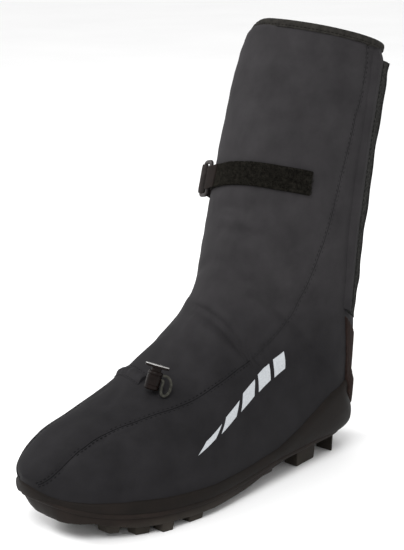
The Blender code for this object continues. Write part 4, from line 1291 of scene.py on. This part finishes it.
def fabric_edge_grid(at, part, lift):
    """Points that lie on the shaft in front of the closure (part below 0) and over its front behind."""
    scale = read_line(CLOSURE, at) / pace_round(at, CLOSURE_FRONT)
    around = CLOSURE_FRONT + np.maximum(-part, 0) * scale
    on_shaft = dressed(at, around, lift + FIT_GAP * np.clip(1 + part / 0.3, 0, 1))
    over_tape = closure_grid(at, np.maximum(part, 0), lift)
    behind = dressed(at, CLOSURE_FRONT - np.maximum(part, 0) * scale, lift)
    sunk = near_rim(at)[..., None]
    return np.where((part < 0)[..., None], on_shaft, over_tape * (1 - sunk) + behind * sunk)


def build_fabric_edge():
    """Folded rear edge of the rear panel, rising smoothly from the shaft over the closure's front."""
    front, rear = FABRIC_EDGE
    at, part = crossed(between((CLOSURE_ENDS[0], EDGE_TOP[1]), crowded(160)), np.linspace(front, rear, 44))
    climb = soft_step((part - front) / (EDGE_FULL - front)) * (1 - 0.8 * near_rim(at))
    turn = np.clip((rear - part) / EDGE_TURN, 0, 1) ** 0.5
    over = fabric_edge_grid(at, part, EDGE_OVER[0] + EDGE_OVER[1] * climb * (0.55 + 0.45 * turn))
    under = fabric_edge_grid(at, part, EDGE_UNDER[0] + EDGE_UNDER[1] * climb)
    slab = closed_slab(under[:, ::-1], over[:, ::-1])
    # The edge's lower end is darkened with the foot's painted shade
    paint_light_by_height(add_piece("rear_fabric_edge", *slab, [FABRIC], "upper", sharp=60), *FOOT_PAINTED_SHADE)


def build_closure():
    """Under tape, narrower top tape, and the rear panel's folded edge over their front."""
    closure_layer("closure_under_tape", 1.0, lift=0.0, thick=1.15, paint=TAPE_EDGE)
    closure_layer("closure_top_tape", CLOSURE_SPLIT, lift=1.3, thick=1.25, paint=TAPE, node="rear_closure")
    build_fabric_edge()
    frames = []
    a = np.linspace(*CLOSURE_STITCHED, 66)
    for place, lift in CLOSURE_ROWS:
        p = closure_grid(a, np.full(a.shape, place), np.full(a.shape, lift))
        frames.append((p, unit(np.gradient(p, axis=0)), outward(a, CLOSURE_FRONT)))
    add_stitches("closure_stitches", frames, THREAD, "rear_closure", long=2.2, radius=0.26)


# Heel tape at its lower and upper end: section number, way round and half breadth; it runs down over the rand
TAPE_AT = (12.02, 13.95)
TAPE_ROUND = (0.216, 0.252)
TAPE_HALF = (0.022, 0.042)
TAPE_RIBS = 4
# Heel tape in mm: thickness, rounding of its edges, height of its ribs and depth of its back in the cloth
HEEL_TAPE_THICK = 1.45
HEEL_TAPE_ROUNDING = 0.6
RIB_HEIGHT = 0.16
HEEL_TAPE_SINK = 0.4
# Where it climbs on the rand: start above the rand's top line and height of the climb, in mm
RAND_CLIMB = (3.0, 8.0)


def build_heel_tape():
    """Ribbed webbing down the rear corner, over the fabric and the heel patch."""
    u, v = crossed(np.linspace(0, 1, 70), np.linspace(-1, 1, 33))
    at = between(TAPE_AT, u)
    around = between(TAPE_ROUND, u) + v * between(TAPE_HALF, u)
    base = surface(at, around)
    n = outward(at, around)
    on_rand = np.clip((rand_height(base[..., 0]) + RAND_CLIMB[0] - base[..., 2]) / RAND_CLIMB[1], 0, 1)
    ribs = RIB_HEIGHT * np.cos(v * np.pi * TAPE_RIBS)
    rise = RAND_LIFT * on_rand + rounded_rise(rim_distance(base), HEEL_TAPE_THICK, HEEL_TAPE_ROUNDING) + ribs
    slab = closed_slab(base - n * HEEL_TAPE_SINK, base + n * rise[..., None])
    add_piece("heel_tape_strip", *slab, [BROWN], "heel_tape", "heel_tape", sharp=50)


# Drawcord

# Channel: thickness and rounding of its edges in mm; tunnel: start and breadth as shares of the channel's
CHANNEL_THICK = 0.65
CHANNEL_ROUNDING = 0.5
TUNNEL = (0.16, 0.68)
# Rows of stitches along the channel, as shares of its breadth
CHANNEL_ROWS = (0.07, 0.93)


def build_channel():
    """Fabric tunnel with a soft gathered top and flat stitched edges."""
    first, last = CHANNEL_ROUND
    u, around = crossed(np.linspace(0, 1, 26), between(CHANNEL_ROUND, crowded(70)))
    at = between(CHANNEL_AT, u) + CHANNEL_SLANT * (around - first)
    base = dressed(at, around)
    n = outward(at, around)
    tunnel = np.clip(np.sin(np.pi * np.clip((u - TUNNEL[0]) / TUNNEL[1], 0, 1)), 0, 1) ** 0.8
    gather = 1 + 0.16 * np.sin((around - first) * 70.0 + 2 * u) + 0.1 * np.sin((around - first) * 131.0)
    rise = rounded_rise(rim_distance(base), CHANNEL_THICK, CHANNEL_ROUNDING) + CHANNEL_BULGE * tunnel * gather
    slab = closed_slab(base - n * PAD_SINK, base + n * rise[..., None])
    ob = add_piece("channel_tunnel", *slab, [FABRIC], "cord_channel", "cord_channel", sharp=60)
    # The channel is darkened with the foot's painted shade
    paint_light_by_height(ob, *FOOT_PAINTED_SHADE)
    frames = []
    for share in CHANNEL_ROWS:
        line = [(between(CHANNEL_AT, share) + CHANNEL_SLANT * (r - first), r)
                for r in np.linspace(first + 0.01, last - 0.01, 7)]
        frames.append(line_frame(line, step=3.0, lift=0.6)[:3])
    add_stitches("channel_stitches", frames, THREAD, "cord_channel", long=2.0, radius=0.24)


def lock_matrix():
    """Placement of the cord lock in metres, as in the part."""
    at, around = LOCK_PLACE
    n = outward(at, around)
    up = along(at, around)
    side = across(at, around)
    tilt, lean, roll = np.radians([LOCK_TILT, LOCK_LEAN, LOCK_TURN])
    turn = np.array([-1.0, -1.0, 1.0])
    z = unit((up * np.cos(lean) + side * np.sin(lean)) * np.cos(tilt) + n * np.sin(tilt)) * turn
    x = (up * np.sin(roll) - side * np.cos(roll)) * turn
    x = unit(x - z * np.dot(x, z))
    m = Matrix.Identity(4)
    for i, v in enumerate((x, np.cross(z, x), z)):
        for j in range(3):
            m[j][i] = v[j]
    m.translation = Vector(world(surface(at, around) + n * (LOCK_RADIUS + LOCK_STANDOFF)))
    return m


def turned_piece(name, rings, matrix, paint, slot, node, body):
    """Round body from rings of (half length, half width, height), in millimetres round its own axis."""
    a = np.linspace(0, 2 * np.pi, TURN_SIDES, endpoint=False)
    points = [np.stack([x * np.cos(a), y * np.sin(a), np.full(TURN_SIDES, z)], -1) for x, y, z in rings]
    faces = tube_faces(len(rings), TURN_SIDES)
    return add_piece(name, np.concatenate(points), faces, [paint], slot, node, body, sharp=40, recalc=True,
                     matrix=matrix)


# Thickness of the button's top plate, painted light grey as a painted highlight, and depth of the grooves
# round the barrel
CAP_FACE = 0.5
GROOVE = 0.3
# Points round a turned piece
TURN_SIDES = 48


def build_lock():
    """Spring cord lock: grooved barrel and a push button on its stem."""
    m = lock_matrix()
    base = -LOCK_LENGTH / 2
    top = LOCK_LENGTH / 2
    r = LOCK_RADIUS
    deep = r - GROOVE
    outside = [(r - 1.3, base), (r - 0.6, base + 0.25), (r - 0.15, base + 0.7), (r, base + 1.3),
               (r, base + 2.6), (deep, base + 2.9), (deep, base + 3.3), (r, base + 3.6),
               (r, top - 3.0), (deep, top - 2.7), (deep, top - 2.3), (r, top - 2.0), (r, top - 0.8),
               (r - 0.25, top - 0.25), (r - 0.7, top), (LOCK_BORE + 0.25, top), (LOCK_BORE, top - 0.25),
               (LOCK_BORE, top - LOCK_DEPTH)]
    barrel = [(x, x, z) for x, z in outside]
    turned_piece("lock_barrel", barrel, m, LOCK, "cord_lock_body", "cord_lock_body", SHOE)
    lift = top + PRESS + 0.4
    face = lift + CAP_THICK
    rim = face - CAP_FACE
    x = CAP_LENGTH / 2
    y = CAP_WIDTH / 2
    stem = [(STEM_RADIUS, STEM_RADIUS, lift - STEM_LENGTH), (STEM_RADIUS, STEM_RADIUS, lift + 0.1),
            (x - 0.6, y - 0.6, lift + 0.1), (x - 0.2, y - 0.2, lift + 0.3), (x - 0.08, y - 0.08, lift + 0.7),
            (x - 0.08, y - 0.08, rim + 0.05)]
    cap = [(x - 0.1, y - 0.1, rim), (x, y, rim + 0.12), (x, y, face - 0.3), (x - 0.12, y - 0.12, face - 0.1),
           (x - 0.5, y - 0.5, face), (x - 2.2, y - 1.9, face - 0.08), (x - 4.0, y - 2.8, face - 0.15)]
    # The button's top plate is painted light grey: a painted highlight
    turned_piece("lock_button_cap", cap, m, CAP_HIGHLIGHT, "cord_lock_plunger", "cord_lock_plunger", "lock_button")
    turned_piece("lock_button_stem", stem, m, LOCK, "cord_lock_plunger", None, "lock_button")
    build_cord(m)


def cord_curve(name, route):
    """Round cord along a line of points in metres."""
    curve = bpy.data.curves.new(name, "CURVE")
    curve.dimensions = "3D"
    curve.bevel_depth = CORD_RADIUS * MM
    curve.bevel_resolution = 5
    curve.use_fill_caps = True
    spline = curve.splines.new("POLY")
    spline.points.add(len(route) - 1)
    for point, v in zip(spline.points, route):
        point.co = (*v, 1.0)
    curve.materials.append(CORD)
    return settle(bpy.data.objects.new(name, curve))


def build_cord(m):
    """Elastic drawcord loop that leaves the lock on its outer side and comes back to it."""
    route = [m @ Vector(p * MM) for p in rounded_line(CORD_ROUTE)]
    ob = cord_curve("drawcord", route)
    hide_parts("drawcord_loop")


# Camera: in front of the toe on the outer side, a little above the collar; focal length and axis in pixels
LOOK_PLACE = Vector(((MIDDLE - 90.0) * MM, SIDE * MM, 0.165))
TURN = math.radians(48.0)
RISE = math.radians(12.5)
AWAY = 1.15
FOCAL = 1560.0
AXIS_PX = (250.0, 250.0)
SIZE_PX = (404.0, 550.0)
SENSOR = 36.0


def add_camera():
    """Camera turned so that the photograph's axis lies off its middle."""
    back = Vector((-math.sin(TURN) * math.cos(RISE), -math.cos(TURN) * math.cos(RISE), math.sin(RISE)))
    right = Vector((math.cos(TURN), -math.sin(TURN), 0.0))
    up = back.cross(right)
    aim = -back
    aim += right * ((SIZE_PX[0] / 2 - AXIS_PX[0]) / FOCAL)
    aim -= up * ((SIZE_PX[1] / 2 - AXIS_PX[1]) / FOCAL)
    data = bpy.data.cameras.new("view")
    data.sensor_width = SENSOR
    data.lens = FOCAL / SIZE_PX[1] * SENSOR
    data.clip_start = 0.05
    data.clip_end = 20.0
    cam = bpy.data.objects.new("view", data)
    cam.location = LOOK_PLACE + back * AWAY
    cam.rotation_mode = "QUATERNION"
    cam.rotation_quaternion = aim.to_track_quat("-Z", "Y")
    scene.collection.objects.link(cam)
    scene.camera = cam


def add_light(name, place, aim, size, power):
    """Round area light that looks at its aim."""
    data = bpy.data.lights.new(name, "AREA")
    data.shape = "DISK"
    data.size = size
    data.energy = power
    lamp = bpy.data.objects.new(name, data)
    lamp.location = place
    lamp.rotation_mode = "QUATERNION"
    lamp.rotation_quaternion = (Vector(aim) - Vector(place)).to_track_quat("-Z", "Y")
    scene.collection.objects.link(lamp)


# Lights: place and aim in metres, size in metres, power in watts
LIGHTS = [
    ("key", (-1.3, -0.9, 1.9), (0, 0, 0.15), 1.2, 38),
    ("rim", (-0.9, 1.5, 1.3), (0.05, 0, 0.2), 0.9, 26),
]


def add_stage():
    """Pale floor, white surroundings and two lights."""
    mesh = bpy.data.meshes.new("floor")
    mesh.from_pydata([(-8, -8, 0), (8, -8, 0), (8, 8, 0), (-8, 8, 0)], [], [(0, 1, 2, 3)])
    floor = bpy.data.objects.new("floor", mesh)
    paint = mottled("pale_floor", (0.90, 0.90, 0.90), (0.93, 0.93, 0.93), 0.9, 400.0, [(40.0, 0.02, 0.1)],
                    specular=0.5)
    mesh.materials.append(paint)
    scene.collection.objects.link(floor)
    world_light = bpy.data.worlds.new("studio")
    world_light.use_nodes = True
    back = world_light.node_tree.nodes["Background"]
    back.inputs["Color"].default_value = (1.0, 1.0, 1.0, 1.0)
    back.inputs["Strength"].default_value = 1.0
    scene.world = world_light
    for light in LIGHTS:
        add_light(*light)
    scene.view_settings.view_transform = "Standard"


add_camera()
build_lock()
build_channel()
build_upper()
build_seams()
build_marks()
build_rand()
build_sole()
build_hem()
build_strap()
build_ring()
build_anchor()
build_closure()
build_heel_tape()
add_stage()
